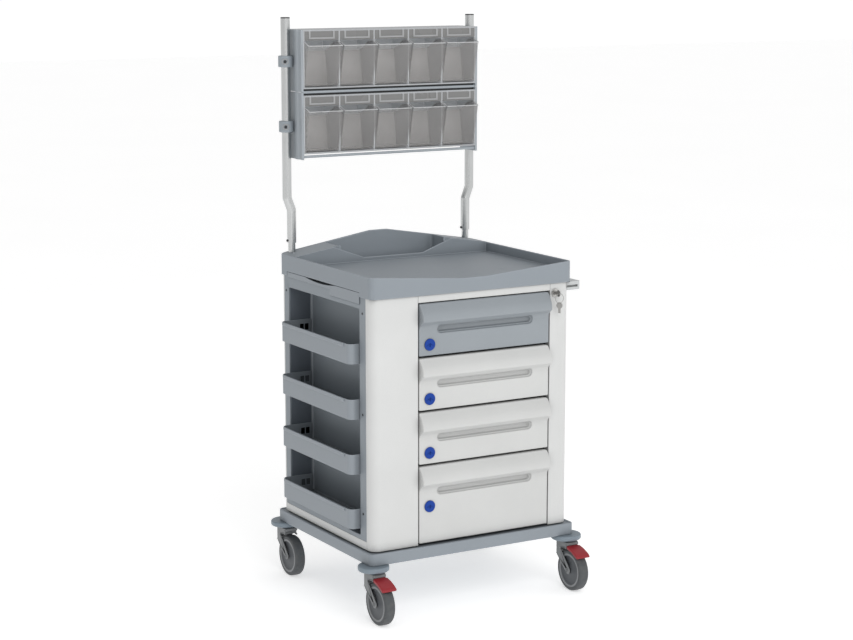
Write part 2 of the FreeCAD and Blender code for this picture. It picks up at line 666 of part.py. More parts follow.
def side_frame():
    """Left side frame: two stiles round the compartment, cut down where the shelf pulls out."""
    piece = Piece("side_frame")
    front = "-column_back + panel_seam"
    back = "rear_face - rear_fold - panel_seam"
    piece.pad("YZ", "-body_half", "-body_half + frame_skin",
              [(front, "frame_low"), (back, "frame_low"), (back, "panel_top"),
               ("shelf_back + 2", "panel_top"), ("shelf_back + 2", "shelf_slab_low - 0.8"),
               ("-shelf_step + 1.5", "shelf_slab_low - 0.8"),
               ("-shelf_step + 1.5", "shelf_face_low - 1"), ("-shelf_front - 2", "shelf_face_low - 1"),
               ("-shelf_front - 2", "panel_top"), (front, "panel_top")])
    piece.cut("YZ", "-body_half", "-body_half + frame_skin",
              box_points("-tub_front", "tub_back", "tub_low", "tub_top"))
    piece.round("6", along("X", ("-tub_front", "tub_low"), ("-tub_front", "tub_top"),
                           ("tub_back", "tub_low"), ("tub_back", "tub_top")))
    return piece.done()


def side_tub():
    """Moulded compartment behind the side frame, with a hook plate at both ends of every bin."""
    piece = Piece("side_tub")
    inner = "-tub_wall_x"
    outer = "-body_half + frame_skin"
    piece.pad("YZ", outer, "-tub_wall_x + tub_skin",
              box_points("-tub_front - tub_skin", "tub_back + tub_skin", "tub_low - tub_skin",
                         "tub_top + tub_skin"))
    piece.cut("YZ", outer, inner, box_points("-tub_front", "tub_back", "tub_low", "tub_top"))
    piece.round("12", along("Z", (inner, "-tub_front"), (inner, "tub_back")))
    plates = []
    for row in range(4):
        lip = f"lip_line - {row} * side_pitch"
        plates.append(box_points("-hook_x - hook_half", "-hook_x + hook_half", f"{lip} - hook_low",
                                 f"{lip} - hook_high"))
    piece.pad("XZ", "-tub_front - 1", "-tub_front + hook_thick", *plates)
    piece.pad("XZ", "tub_back - hook_thick", "tub_back + 1", *plates)
    return piece.done()


# ---------------------------------------------------------------- worktop


def worktop():
    """Moulded tray: low front rim, level sides, raised rear zone with a recess and a gabled back."""
    piece = Piece("worktop")
    front = "-tray_deep / 2"
    back = "tray_deep / 2"
    half = "tray_wide / 2"
    crest = "rear_peak + 10"
    piece.pad("XY", "tray_low", "tray_rim", middle_box("tray_wide", "tray_deep"))
    piece.pad("XZ", "rear_front", back,
              [(f"-{half}", "tray_rim - 20"), (half, "tray_rim - 20"), (half, "tray_rim"),
               ("rear_peak_flat", "rear_peak"), ("-rear_peak_flat", "rear_peak"), (f"-{half}", "tray_rim")])
    piece.round("tray_corner", along("Z", (f"-{half}", front), (half, front), (f"-{half}", back),
                                     (half, back)))
    rim_u = f"{half} - rim_thick"
    rim_v = f"{front} + rim_thick"
    piece.cut("XY", "tray_floor", "tray_rim + 10",
              box_points(f"-({rim_u})", rim_u, rim_v, "rear_front"))
    piece.round("tray_inner_corner", along("Z", (f"-({rim_u})", rim_v), (rim_u, rim_v)))
    piece.cut("XZ", f"{front} - 1", f"{rim_v} + tray_inner_corner / 2",
              [("-dip_end", crest), ("-dip_end", "tray_rim"), ("-dip_flat", "dip_low"),
               ("dip_flat", "dip_low"), ("dip_end", "tray_rim"), ("dip_end", crest)])
    piece.cut("XY", "recess_floor", crest,
              box_points("-recess_half", "recess_half", "rear_front + divider_thick", "recess_back"))
    piece.round("9", along("Z", ("-recess_half", "rear_front + divider_thick"),
                           ("recess_half", "rear_front + divider_thick"),
                           ("-recess_half", "recess_back"), ("recess_half", "recess_back")))
    run_out = "(saddle_half + (saddle_end - saddle_half) * 1.5)"
    run_up = "(saddle_low + (rear_peak - saddle_low) * 0.8)"
    piece.cut("XZ", "rear_front - 1", "rear_front + divider_thick + 0.01",
              [("-saddle_half", "saddle_low"), ("saddle_half", "saddle_low"), (run_out, run_up),
               (run_out, crest), (f"-{run_out}", crest), (f"-{run_out}", run_up)])
    piece.cut("XY", "tray_low", "tray_floor - tray_skin",
              box_points(f"-{half} + tray_skin", f"{half} - tray_skin", f"{front} + tray_skin",
                         "rear_front + divider_thick - tray_skin"))
    piece.cut("XY", "tray_low", "recess_floor - tray_skin",
              box_points(f"-{half} + tray_skin", f"{half} - tray_skin", "rear_front", f"{back} - tray_skin"))
    for name, side in SIDES:
        low, high = span("recess_half + tray_skin", f"{half} - tray_skin", side)
        piece.cut("XY", "recess_floor - tray_skin - 1", "tray_rim - tray_skin",
                  box_points(low, high, "rear_front + tray_skin", f"{back} - tray_skin"))
    sockets = [Circle(f"{side} * post_low_x", "post_y", "spigot_dia / 2 + running_gap")
               for name, side in SIDES]
    piece.cut("XY", "tray_low", crest, *sockets)
    piece.cut("YZ", f"-{half} - 1", f"-{half} + tray_skin + 1",
              box_points("-shelf_front - 2", "shelf_back + 2", "tray_low - 1", "shelf_top + 1"))
    return piece.done()


# ---------------------------------------------------------------- posts and rack


def post_tube(label, side):
    """Chrome tube that steps outward at its crank, drawn through its three straight runs."""
    piece = Piece(label, "0", "post_y")
    path = piece.body.newObject("Sketcher::SketchObject", f"{label}_path")
    path.AttachmentSupport = [(piece.planes["XZ_Plane"], "")]
    path.MapMode = "FlatFace"
    spots = mirrored([("post_low_x", "post_foot"), ("post_low_x", "crank_low"), ("post_top_x", "crank_top"),
                      ("post_top_x", "post_top")], side)
    for index, (start, stop) in enumerate(zip(spots, spots[1:])):
        ends = [FreeCAD.Vector(value(u), value(v), 0) for u, v in (start, stop)]
        path.addGeometry(Part.LineSegment(*ends), False)
        if index:
            path.addConstraint(Sketcher.Constraint("Coincident", index - 1, 2, index, 1))
        piece.fix_point(path, index, 1, *start)
    piece.fix_point(path, len(spots) - 2, 2, *spots[-1])
    middle = (f"{side} * post_low_x", "0")
    pipe = piece.body.newObject("PartDesign::AdditivePipe", f"{label}_pipe")
    pipe.Profile = piece.sketch("XY", "post_foot", [Circle(*middle, "post_dia / 2"),
                                                    Circle(*middle, "post_dia / 2 - post_wall")])
    pipe.Spine = (path, [f"Edge{number}" for number in range(1, len(spots))])
    pipe.Transition = "Round corner"
    doc.recompute()
    return piece.body


def rack_posts():
    """Both post tubes with the spigots that stand in the worktop."""
    members = []
    for side_name, side in SIDES:
        members.append(post_tube(f"post_tube_{side_name}", side))
        spigot = Piece(f"post_spigot_{side_name}", f"{side} * post_low_x", "post_y")
        spigot.pad("XY", "spigot_foot", "post_foot", Circle("0", "0", "spigot_dia / 2"))
        spigot.pad("XY", "post_foot", "post_foot + spigot_grip", Circle("0", "0", "post_dia / 2 - post_wall"))
        members.append(spigot.body)
    return group("rack_posts", members)


def screws_and_plugs():
    """Black plastic seal between the bin units, post plugs, post screws and the side frame's screw heads."""
    members = [block("unit_seal", "-rack_half", "rack_half", "rack_front + seal_set",
                     "rack_front + seal_set + seal_thick", "lower_unit + unit_high", "upper_unit")]
    for side_name, side in SIDES:
        top_x = f"{side} * post_top_x"
        plug = rod(f"post_plug_{side_name}", "Z", "post_dia / 2", "plug_thick", top_x, "post_y", "post_top")
        members.append(rounded(plug, "1.2", "post_top + plug_thick"))
        members.append(rod(f"post_screw_{side_name}", "X", "3.6", "3",
                           f"{side} * post_low_x - post_dia / 2 - 3", "post_y", "post_foot + 7"))
    for row, height in enumerate(("tub_top - 11.5", "(tub_top + tub_low) / 2 + 27", "tub_low + 67")):
        for end_name, across in (("front", "-tub_front - 18"), ("rear", "tub_back + 16")):
            members.append(rod(f"frame_screw_{end_name}_{row}", "X", "3.4", "1.2", "-body_half - 1.2",
                               across, height))
    return group("screws_and_plugs", members)


def rounded(base, radius, height):
    """Round the upper edge of a cylinder."""
    doc.recompute()
    part = doc.addObject("Part::Fillet", f"{base.Name}_round")
    part.Base = base
    edges = [number for number, edge in enumerate(base.Shape.Edges, 1) if level(height)(edge)]
    size = value(radius)
    part.Edges = [(number, size, size) for number in edges]
    doc.recompute()
    return part


def rack_frame():
    """Folded end plates that join rack and clamps, and the chrome rails under each bin unit."""
    members = []
    for side_name, side in SIDES:
        for unit, low, high in (("upper", "upper_unit - 9.5", "upper_unit + unit_high"),
                                ("lower", "end_foot", "upper_unit - 10.5")):
            piece = Piece(f"end_plate_{unit}_{side_name}")
            near = "rack_half"
            sheet_x = "rack_half + end_plate"
            rib = "rack_half + end_rib"
            back = "rack_front + end_deep"
            outline = [(near, "rack_front"), (rib, "rack_front"), (rib, "rack_front + 5"),
                       (sheet_x, "rack_front + 7"), (sheet_x, "rack_front + 26"), (rib, "rack_front + 30"),
                       (rib, "rack_front + 44"), (sheet_x, "rack_front + 48"), (sheet_x, f"{back} - 4"),
                       (rib, f"{back} - 3"), (rib, back), (near, back)]
            piece.pad("XY", low, high, mirrored(outline, side))
            members.append(piece.body)
    between = "(lower_unit + unit_high + upper_unit) / 2"
    for unit, height in (("upper", between), ("lower", "lower_unit - 8")):
        members.append(rod(f"rack_rail_{unit}", "X", "rail_dia / 2", "2 * rack_half", "-rack_half",
                           "rack_front + 7", height))
    return group("rack_frame", members)


def bin_housing(label, low):
    """Frame of one unit: five open compartments with a front strip above each."""
    piece = Piece(label, "0", "rack_front", low)
    piece.pad("XZ", "0", "rack_deep", box_points("-rack_half", "rack_half", "0", "unit_high"))
    half = "(bin_pitch - unit_wall) / 2"
    ceiling = "unit_high - unit_wall"
    top = f"{ceiling} + 0.5"
    foot = "unit_high - holder_low"
    chambers = []
    mouths = []
    holders = []
    for number in range(-2, 3):
        middle = f"{number} * bin_pitch"
        chambers.append(box_points(f"{middle} - {half}", f"{middle} + {half}", "unit_wall", ceiling))
        mouths.append(box_points(f"{middle} - {half}", f"{middle} + {half}", "unit_wall",
                                 f"{ceiling} - strip_high"))
        left = f"{middle} - holder_half"
        right = f"{middle} + holder_half"
        holders.append([(left, foot), (right, foot), (right, top), (f"{right} - holder_bar", top),
                        (f"{right} - holder_bar", f"{foot} + 4"), (f"{left} + holder_bar", f"{foot} + 4"),
                        (f"{left} + holder_bar", top), (left, top)])
    piece.cut("XZ", "unit_skin", "rack_deep - unit_skin", *chambers)
    piece.cut("XZ", "0", "unit_skin", *mouths)
    piece.pad("XZ", "-1.5", "0.5", *holders)
    piece.cut("YZ", "-rack_half + 2", "rack_half - 2",
              Circle("bin_pivot_y", "bin_pivot_z", "pivot_dia / 2 + running_gap"))
    return piece.done()


def tilt_bin(label, number, unit_low):
    """Clear bin with a pouting front, tipping forward on two stubs at its foot."""
    piece = Piece(label, f"{number} * bin_pitch", "rack_front", unit_low)
    lip = "unit_high - lip_drop"
    side = [("2", "bin_foot"), ("-lip_proud", lip), ("2", "unit_high - 36"), ("30", "unit_high - 39"),
            ("bin_deep", "bin_back"), ("bin_floor_deep", "bin_foot")]
    piece.pad("YZ", "-bin_wide / 2", "bin_wide / 2", side)
    rear = "bin_deep - 1 - bin_wall"
    hollow = [("2 + bin_wall", "bin_foot + bin_wall"), ("-lip_proud + bin_wall", lip),
              ("-lip_proud + bin_wall", "unit_high"), (rear, "unit_high"), (rear, "bin_back - 1"),
              ("bin_floor_deep - bin_wall", "bin_foot + bin_wall")]
    piece.cut("YZ", "-bin_wide / 2 + bin_wall", "bin_wide / 2 - bin_wall", hollow)
    for name, sign in SIDES:
        low, high = span("bin_wide / 2 - bin_wall", "(bin_pitch - unit_wall) / 2 + 1.4", sign)
        piece.pad("YZ", low, high, Circle("bin_pivot_y", "bin_pivot_z", "pivot_dia / 2"))
    return piece.done()


def post_clamps():
    """Plastic clamps that hold the rack's end plates on the posts."""
    members = []
    for side_name, side in SIDES:
        for unit, height in (("upper", "clamp_upper"), ("lower", "clamp_lower")):
            piece = Piece(f"clamp_{unit}_{side_name}", "0", "0", f"{height} - clamp_high / 2")
            arm = [("rack_half + end_rib", "clamp_front"), ("post_top_x - 3", "clamp_front"),
                   ("post_top_x + 6", "clamp_front + 14"), ("post_top_x + 16", "post_y"),
                   ("post_top_x", "post_y + clamp_back"), ("rack_half + end_rib", "post_y + clamp_back")]
            piece.pad("XY", "0", "clamp_high", Circle(f"{side} * post_top_x", "post_y", "clamp_dia / 2"))
            piece.pad("XY", "0", "clamp_high", mirrored(arm, side))
            piece.cut("XY", "0", "clamp_high",
                      Circle(f"{side} * post_top_x", "post_y", "post_dia / 2 + running_gap"))
            low, high = span("0", "rack_half + end_rib", side)
            piece.cut("XY", "0", "clamp_high", box_points(low, high, "rack_front", "post_y + clamp_dia"))
            members.append(piece.body)
    return group("post_clamps", members)


def rack():
    """The two bin units with all their tilting bins, their frame and their clamps."""
    rack_frame()
    for unit, low in (("upper", "upper_unit"), ("lower", "lower_unit")):
        bin_housing(f"bin_housing_{unit}", low)
        for number in range(-2, 3):
            tilt_bin(f"tilt_bin_{unit}_{number + 3}", number, low)
    post_clamps()


# ---------------------------------------------------------------- drawers


def drawer_sizes(number):
    """Formulas for the top line of a drawer and the height of its front."""
    line = f"drawer_line - {number - 1} * drawer_pitch"
    high = "deep_front" if number == 4 else "drawer_pitch - drawer_gap"
    return line, high


def drawer_front(number):
    """Front panel with a canopy grip along its top and a long finger recess under it."""
    line, high = drawer_sizes(number)
    piece = Piece(f"drawer_front_{number}", "0", "-front_face", f"{line} - drawer_gap / 2")
    left = "-bay_left + side_gap"
    right = "bay_right - side_gap"
    profile = [("0", "0"), ("-grip_proud * 0.33", "-grip_drop * 0.24"),
               ("-grip_proud * 0.76", "-grip_drop * 0.52"), ("-grip_proud * 0.93", "-grip_drop * 0.72"),
               ("-grip_proud", "-grip_drop + 3"), ("-grip_proud", "-grip_drop"),
               ("-grip_proud * 0.55", "-grip_drop - 8"), ("-grip_proud * 0.2", "-grip_under + 7"),
               ("0", "-grip_under - 4"), ("0", f"-({high})"), ("front_thick", f"-({high})"),
               ("front_thick", "0")]
    piece.pad("YZ", left, right, profile)
    piece.round("2.5", along("X", ("-grip_proud", "-grip_drop")))
    for edge, sign in ((left, 1), (right, -1)):
        corner = [(edge, "0"), (edge, "-grip_proud - 1"),
                  (f"{edge} + {sign} * grip_draft", "-grip_proud - 1")]
        piece.cut("XY", "-grip_under - 5", "1", corner)
    piece.cut("XZ", "-grip_proud", "slot_depth",
              box_points("slot_x - slot_half", "slot_x + slot_half", "-slot_drop - slot_high / 2",
                         "-slot_drop + slot_high / 2"))
    piece.round("slot_high / 2 - 0.5", along("Y", *[(f"slot_x {u} slot_half", f"-slot_drop {v} slot_high / 2")
                                                    for u in "+-" for v in "+-"]))
    piece.round("5", along("Y", (left, "0"), (right, "0"), (left, f"-({high})"), (right, f"-({high})")))
    return piece.done()


def drawer_box(number):
    """Open moulded box behind the front, with the inner runner members on its sides."""
    line, high = drawer_sizes(number)
    middle_x = "(bay_right - bay_left) / 2"
    half = "((bay_right + bay_left) / 2 + bay_clear - 2 * runner_wide - runner_play)"
    base = f"{line} - drawer_gap / 2 - ({high}) + box_low"
    tall = f"{high} - box_low - box_drop"
    front = "-front_face + front_thick"
    shell = Piece(f"box_shell_{number}", middle_x, front, base)
    shell.pad("XY", "0", tall, box_points(f"-{half}", half, "0", "box_deep"))
    shell.cut("XY", "box_skin", tall, box_points(f"-{half} + box_skin", f"{half} - box_skin", "box_skin",
                                                 "box_deep - box_skin"))
    members = [shell.body]
    for side_name, side in SIDES:
        near, far = span(half, f"{half} + runner_wide", side)
        members.append(block(f"runner_inner_{number}_{side_name}", f"{middle_x} + {near}",
                             f"{middle_x} + {far}", f"{front} + 6", f"{front} + box_deep - 6",
                             f"{base} + runner_rise", f"{base} + runner_rise + runner_high"))
    return group(f"drawer_box_{number}", members)


def drawer_disc(number):
    """Round lock disc with a plain keyhole slot."""
    line = drawer_sizes(number)[0]
    piece = Piece(f"drawer_lock_{number}", "-disc_x", "-front_face", f"{line} - disc_drop")
    piece.pad("XZ", "-disc_proud", "0", Circle("0", "0", "disc_dia / 2"))
    face = -value("disc_proud")

    def on_face(edge):
        return max(abs(edge.BoundBox.YMin - face), abs(edge.BoundBox.YMax - face)) < NEAR / 6

    piece.round("1", on_face)
    piece.cut("XZ", "-disc_proud", "-1", Circle("0", "2", "3"))
    piece.cut("XZ", "-disc_proud", "-1", box_points("-1.2", "1.2", "-6", "1"))
    return piece.done()


def drawer_runners():
    """Outer runner members on the bay walls, and the guides that carry the pull-out shelf."""
    members = []
    walls = (("left", 1, "-bay_left - bay_clear"), ("right", -1, "bay_right + bay_clear"))
    for number in range(1, 5):
        line, high = drawer_sizes(number)
        base = f"{line} - drawer_gap / 2 - ({high}) + box_low + runner_rise"
        for side_name, side, wall in walls:
            edges = (wall, f"{wall} + {side} * runner_wide")
            near, far = edges if side > 0 else edges[::-1]
            members.append(block(f"runner_outer_{number}_{side_name}", near, far,
                                 "-front_face + column_return + 4", "-front_face + front_thick + box_deep",
                                 base, f"{base} + runner_high"))
    lip = "shelf_slab_low - 0.5"
    for end_name, face, sign in (("front", "-shelf_front", -1), ("rear", "shelf_back", 1)):
        guide = Piece(f"shelf_guide_{end_name}")
        web = f"{face} + {sign} * 0.6"
        outer = f"{face} + {sign} * 3"
        ledge = f"{face} - {sign} * 12"
        guide.pad("YZ", "-body_half + frame_skin + 1", "shelf_in + 20",
                  [(web, "deck_low"), (outer, "deck_low"), (outer, f"{lip} - 2"), (ledge, f"{lip} - 2"),
                   (ledge, lip), (web, lip)])
        members.append(guide.body)
    return group("drawer_runners", members)


def drawers():
    """Three equal drawers over a deep one."""
    for number in range(1, 5):
        drawer_front(number)
        drawer_box(number)
        drawer_disc(number)
    drawer_runners()


# ---------------------------------------------------------------- side bins, shelf and handle


def side_bin(number):
    """Open bin that hangs in the side compartment, stands out past the frame and is low at its back."""
    piece = Piece(f"side_bin_{number}", "0", "0", f"lip_line - {number - 1} * side_pitch - side_bin_high")
    out = "-side_bin_out"
    inner = "-side_bin_in"
    front = "-side_bin_front"
    back = "side_bin_back"
    wall_x = f"{out} + side_bin_wall"
    near = f"{front} + side_bin_wall"
    far = f"{back} - side_bin_wall"
    piece.pad("XY", "0", "side_bin_high", box_points(out, inner, front, back))
    piece.cut("XY", "side_bin_wall", "side_bin_high",
              box_points(wall_x, f"{inner} - side_bin_wall", near, far))
    piece.round("bin_corner - side_bin_wall", along("Z", (wall_x, near), (wall_x, far)))
    piece.round("bin_corner", along("Z", (out, front), (out, back)))
    piece.cut("XY", "bin_sill", "side_bin_high", box_points(f"{inner} - side_bin_wall - 1", inner, near, far))
    piece.pad("XZ", f"{front} + lip_stop", f"{back} - bin_corner",
              [(out, "side_bin_high - lip_high - 3"), (f"{out} - lip_out", "side_bin_high - lip_high"),
               (f"{out} - lip_out", "side_bin_high"), (f"{out} + 1", "side_bin_high"),
               (f"{out} + 1", "side_bin_high - lip_high - 3")])
    return piece.done()


def pullout_shelf():
    """Writing shelf: a slab behind a stepped face with a shallow finger scoop in its top edge."""
    piece = Piece("pullout_shelf")
    piece.pad("XY", "shelf_slab_low", "shelf_slab_low + shelf_slab",
              box_points("-shelf_out + 1", "shelf_in", "-shelf_front", "shelf_back"))
    piece.pad("YZ", "-shelf_out", "-shelf_out + shelf_face",
              [("-shelf_front", "shelf_face_low"), ("-shelf_step", "shelf_face_low"),
               ("-shelf_step", "shelf_slab_low"), ("shelf_back", "shelf_slab_low"),
               ("shelf_back", "shelf_top"), ("-shelf_front", "shelf_top")])
    piece.cut("YZ", "-shelf_out - 1", "-shelf_out + shelf_face + scoop_reach",
              Circle("scoop_y", "shelf_top - scoop_drop + scoop_radius", "scoop_radius"))
    return piece.done()


def push_handle():
    """Loop handle along the upper right side, fitted round the front column's corner."""
    piece = Piece("push_handle")
    low = "handle_top - handle_high"
    outer = "body_half + handle_reach"
    inner = f"{outer} - handle_bar"
    front = "-front_face + handle_set"
    corner_in = "body_half - handle_wrap"
    piece.pad("XY", low, "handle_top",
              [(corner_in, front), (outer, front), (outer, "handle_back"), ("body_half", "handle_back"),
               ("body_half", "handle_back - handle_bar"), (inner, "handle_back - handle_bar"),
               (inner, "-column_back"), ("body_half", "-column_back"),
               ("body_half", "-front_face + column_corner"),
               (corner_in, "-front_face + column_corner")])
    piece.cut("XY", low, "handle_top",
              Circle("body_half - column_corner", "-front_face + column_corner",
                     "column_corner + running_gap"))
    piece.round("handle_round", along("Z", (outer, front), (outer, "handle_back")))
    piece.cut("XZ", front, f"{front} + notch_deep",
              box_points(corner_in, f"{outer} - notch_end", f"{low} + notch_low", f"{low} + notch_top"))
    return piece.done()


# ---------------------------------------------------------------- lock and keys


def lock_barrel():
    """Barrel of the cabinet lock, with a flange on the column."""
    piece = Piece("lock_cylinder", "lock_x", "-front_face", "lock_z")
    bore = Circle("0", "0", "plug_dia / 2 + running_gap")
    piece.pad("XZ", "0", "18", Circle("0", "0", "lock_dia / 2"), bore)
    piece.pad("XZ", "-flange_out", "0", Circle("0", "0", "lock_dia / 2 + 1.5"), bore)
    return piece.done()


def spare_key():
    """A flat key that hangs straight down from the ring by the hole in its bow."""
    piece = Piece("spare_key", "lock_x", "-front_face - ring_ahead", "lock_z - 2 * ring_radius")
    thin = "key_thick / 2"
    piece.pad("XZ", f"-{thin}", thin, Circle("0", "-7", "bow_dia / 2 - 0.5"))
    piece.pad("XZ", f"-{thin}", thin,
              box_points("-blade_wide / 2", "blade_wide / 2", "-14 - spare_blade", "-14"))
    piece.cut("XZ", f"-{thin}", thin, Circle("0", "0", "ring_wire * 2 + 0.1"))
    piece.body.Placement.Rotation = FreeCAD.Rotation(FreeCAD.Vector(0, 0, 1), SPARE_KEY_TURN)
    return piece.body


def split_ring():
    """Wire ring that hangs in the hole of the key's bow."""
    ring = doc.addObject("Part::Torus", "split_ring")
    ring.setExpression("Radius1", bound("ring_radius"))
    ring.setExpression("Radius2", bound("ring_wire"))
    ring.Placement = FreeCAD.Placement(FreeCAD.Vector(), TURNS["Y"])
    place(ring, "lock_x", "-front_face - ring_ahead", "lock_z - ring_radius")
    return ring


def keys():
    """Turning plug with its key, and the ring that carries the spare key."""
    spot = ("lock_x", "-front_face", "lock_z")
    plug = Piece("lock_plug", *spot)
    plug.pad("XZ", "-plug_out", "16", Circle("0", "0", "plug_dia / 2"))
    bow = Piece("lock_key_bow", *spot)
    thin = "key_thick / 2"
    bow.pad("YZ", f"-{thin}", thin, Circle("-key_ahead", "0", "bow_dia / 2"))
    bow.pad("YZ", f"-{thin}", thin, box_points("-12", "-plug_out", "-blade_wide / 2", "blade_wide / 2"))
    bow.cut("YZ", f"-{thin}", thin, Circle("-ring_ahead", "0", "2.2"))
    group("lock_key", [plug.body, bow.body])
    group("key_ring", [split_ring(), spare_key()])


# ---------------------------------------------------------------- whole cart


def build():
    """Make every sub-part of the cart."""
    fill_sheet()
    base_chassis()
    corner_bumpers()
    casters()
    inner_carcass()
    rear_panel()
    for side_name, side in SIDES:
        front_column(f"front_column_{side_name}", side, "bay_left" if side < 0 else "bay_right")
    plain_panels()
    side_frame()
    side_tub()
    worktop()
    rack_posts()
    rack()
    screws_and_plugs()
    drawers()
    for number in range(1, 5):
        side_bin(number)
    pullout_shelf()
    push_handle()
    lock_barrel()
    keys()


def write_parts():
    """Check every object and write each sub-part's solids to its own file."""
    doc.recompute()
    for thing in doc.Objects:
        if "Invalid" in thing.State or "Error" in thing.State:
            raise ValueError(f"{thing.Name} has failed: {thing.State}")
    for thing in nodes:
        if thing.Shape.isNull() or not thing.Shape.isValid():
            raise ValueError(f"{thing.Label} has no valid shape")
    os.makedirs("parts", exist_ok=True)
    for thing in nodes:
        thing.Shape.exportStep(f"parts/{thing.Label}.step")
    print(len(nodes), "sub-parts written")


build()
write_parts()
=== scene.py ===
"""Looks of the medication cart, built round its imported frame.

The cart's own frame has +X right, -Y front, +Z up and the floor at Z = 0. Pieces are drawn in
millimetres and made in metres. Materials, lamp and camera are in metres throughout.
"""

import json
import math

import bmesh
import bpy
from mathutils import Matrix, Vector

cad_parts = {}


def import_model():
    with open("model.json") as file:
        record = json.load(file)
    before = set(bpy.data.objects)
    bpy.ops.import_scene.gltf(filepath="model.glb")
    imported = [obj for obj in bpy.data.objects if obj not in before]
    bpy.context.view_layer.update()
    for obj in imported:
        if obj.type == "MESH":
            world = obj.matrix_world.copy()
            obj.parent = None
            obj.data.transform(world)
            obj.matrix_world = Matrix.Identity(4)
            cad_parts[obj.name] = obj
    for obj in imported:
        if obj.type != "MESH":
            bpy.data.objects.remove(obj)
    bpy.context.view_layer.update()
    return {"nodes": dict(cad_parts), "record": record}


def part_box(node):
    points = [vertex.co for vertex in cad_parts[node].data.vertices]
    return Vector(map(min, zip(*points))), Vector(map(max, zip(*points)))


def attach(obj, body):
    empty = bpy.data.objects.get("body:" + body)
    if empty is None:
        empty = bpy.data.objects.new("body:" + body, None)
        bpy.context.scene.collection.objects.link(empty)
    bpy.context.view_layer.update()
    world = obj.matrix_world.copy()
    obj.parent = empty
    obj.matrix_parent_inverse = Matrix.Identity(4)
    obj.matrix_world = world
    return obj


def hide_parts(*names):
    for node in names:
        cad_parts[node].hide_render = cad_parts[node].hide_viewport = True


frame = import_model()
NODES = frame["nodes"]
MM = 0.001

CAMERA_PLACE = Vector((-3.1241, -5.3536, 1.9140))
CAMERA_AIM = Vector((0.0065, 0.0255, 0.8121))
CAMERA_LENS = 88.07
SENSOR_WIDE = 36.0
CLIP_NEAR = 0.05
CLIP_FAR = 200.0
KEY_PLACE = (-0.6, -4.4, 4.0)
KEY_AIM = (0, 0, 0.9)
KEY_SIZE = 3.4
KEY_POWER = 105.0
FLOOR_HALF = 30.0
FLOOR_GLOW = 0.48
# Axis, where the brightness starts and stops changing along it, and the brightness at both.
SKY_RAMPS = (("Z", 0.04, 0.4, 1.0, 0.6), ("X", -1.0, 0.3, 0.74, 1.02))
WHITE_LIGHT = (1.0, 1.0, 1.0, 1.0)

SIDES = (("left", -1), ("right", 1))
ENDS = ("front", "rear")
UNITS = ("upper", "lower")
DRAWERS = range(1, 5)
SIDE_BINS = range(1, 5)
TILT_BINS = range(1, 6)


# ---------------------------------------------------------------- materials


CLOUD_RANGE = (0.3, 0.7)
EDGE_RANGE = (0.995, 0.86)
EDGE_SAMPLES = 4
CREVICE_RANGE = (1.0, 0.25)
CREVICE_SAMPLES = 6


def set_range(ramp, low, high, to_low, to_high):
    """Give a Map Range node its two ranges."""
    limits = {"From Min": low, "From Max": high, "To Min": to_low, "To Max": to_high}
    for key, number in limits.items():
        ramp.inputs[key].default_value = number


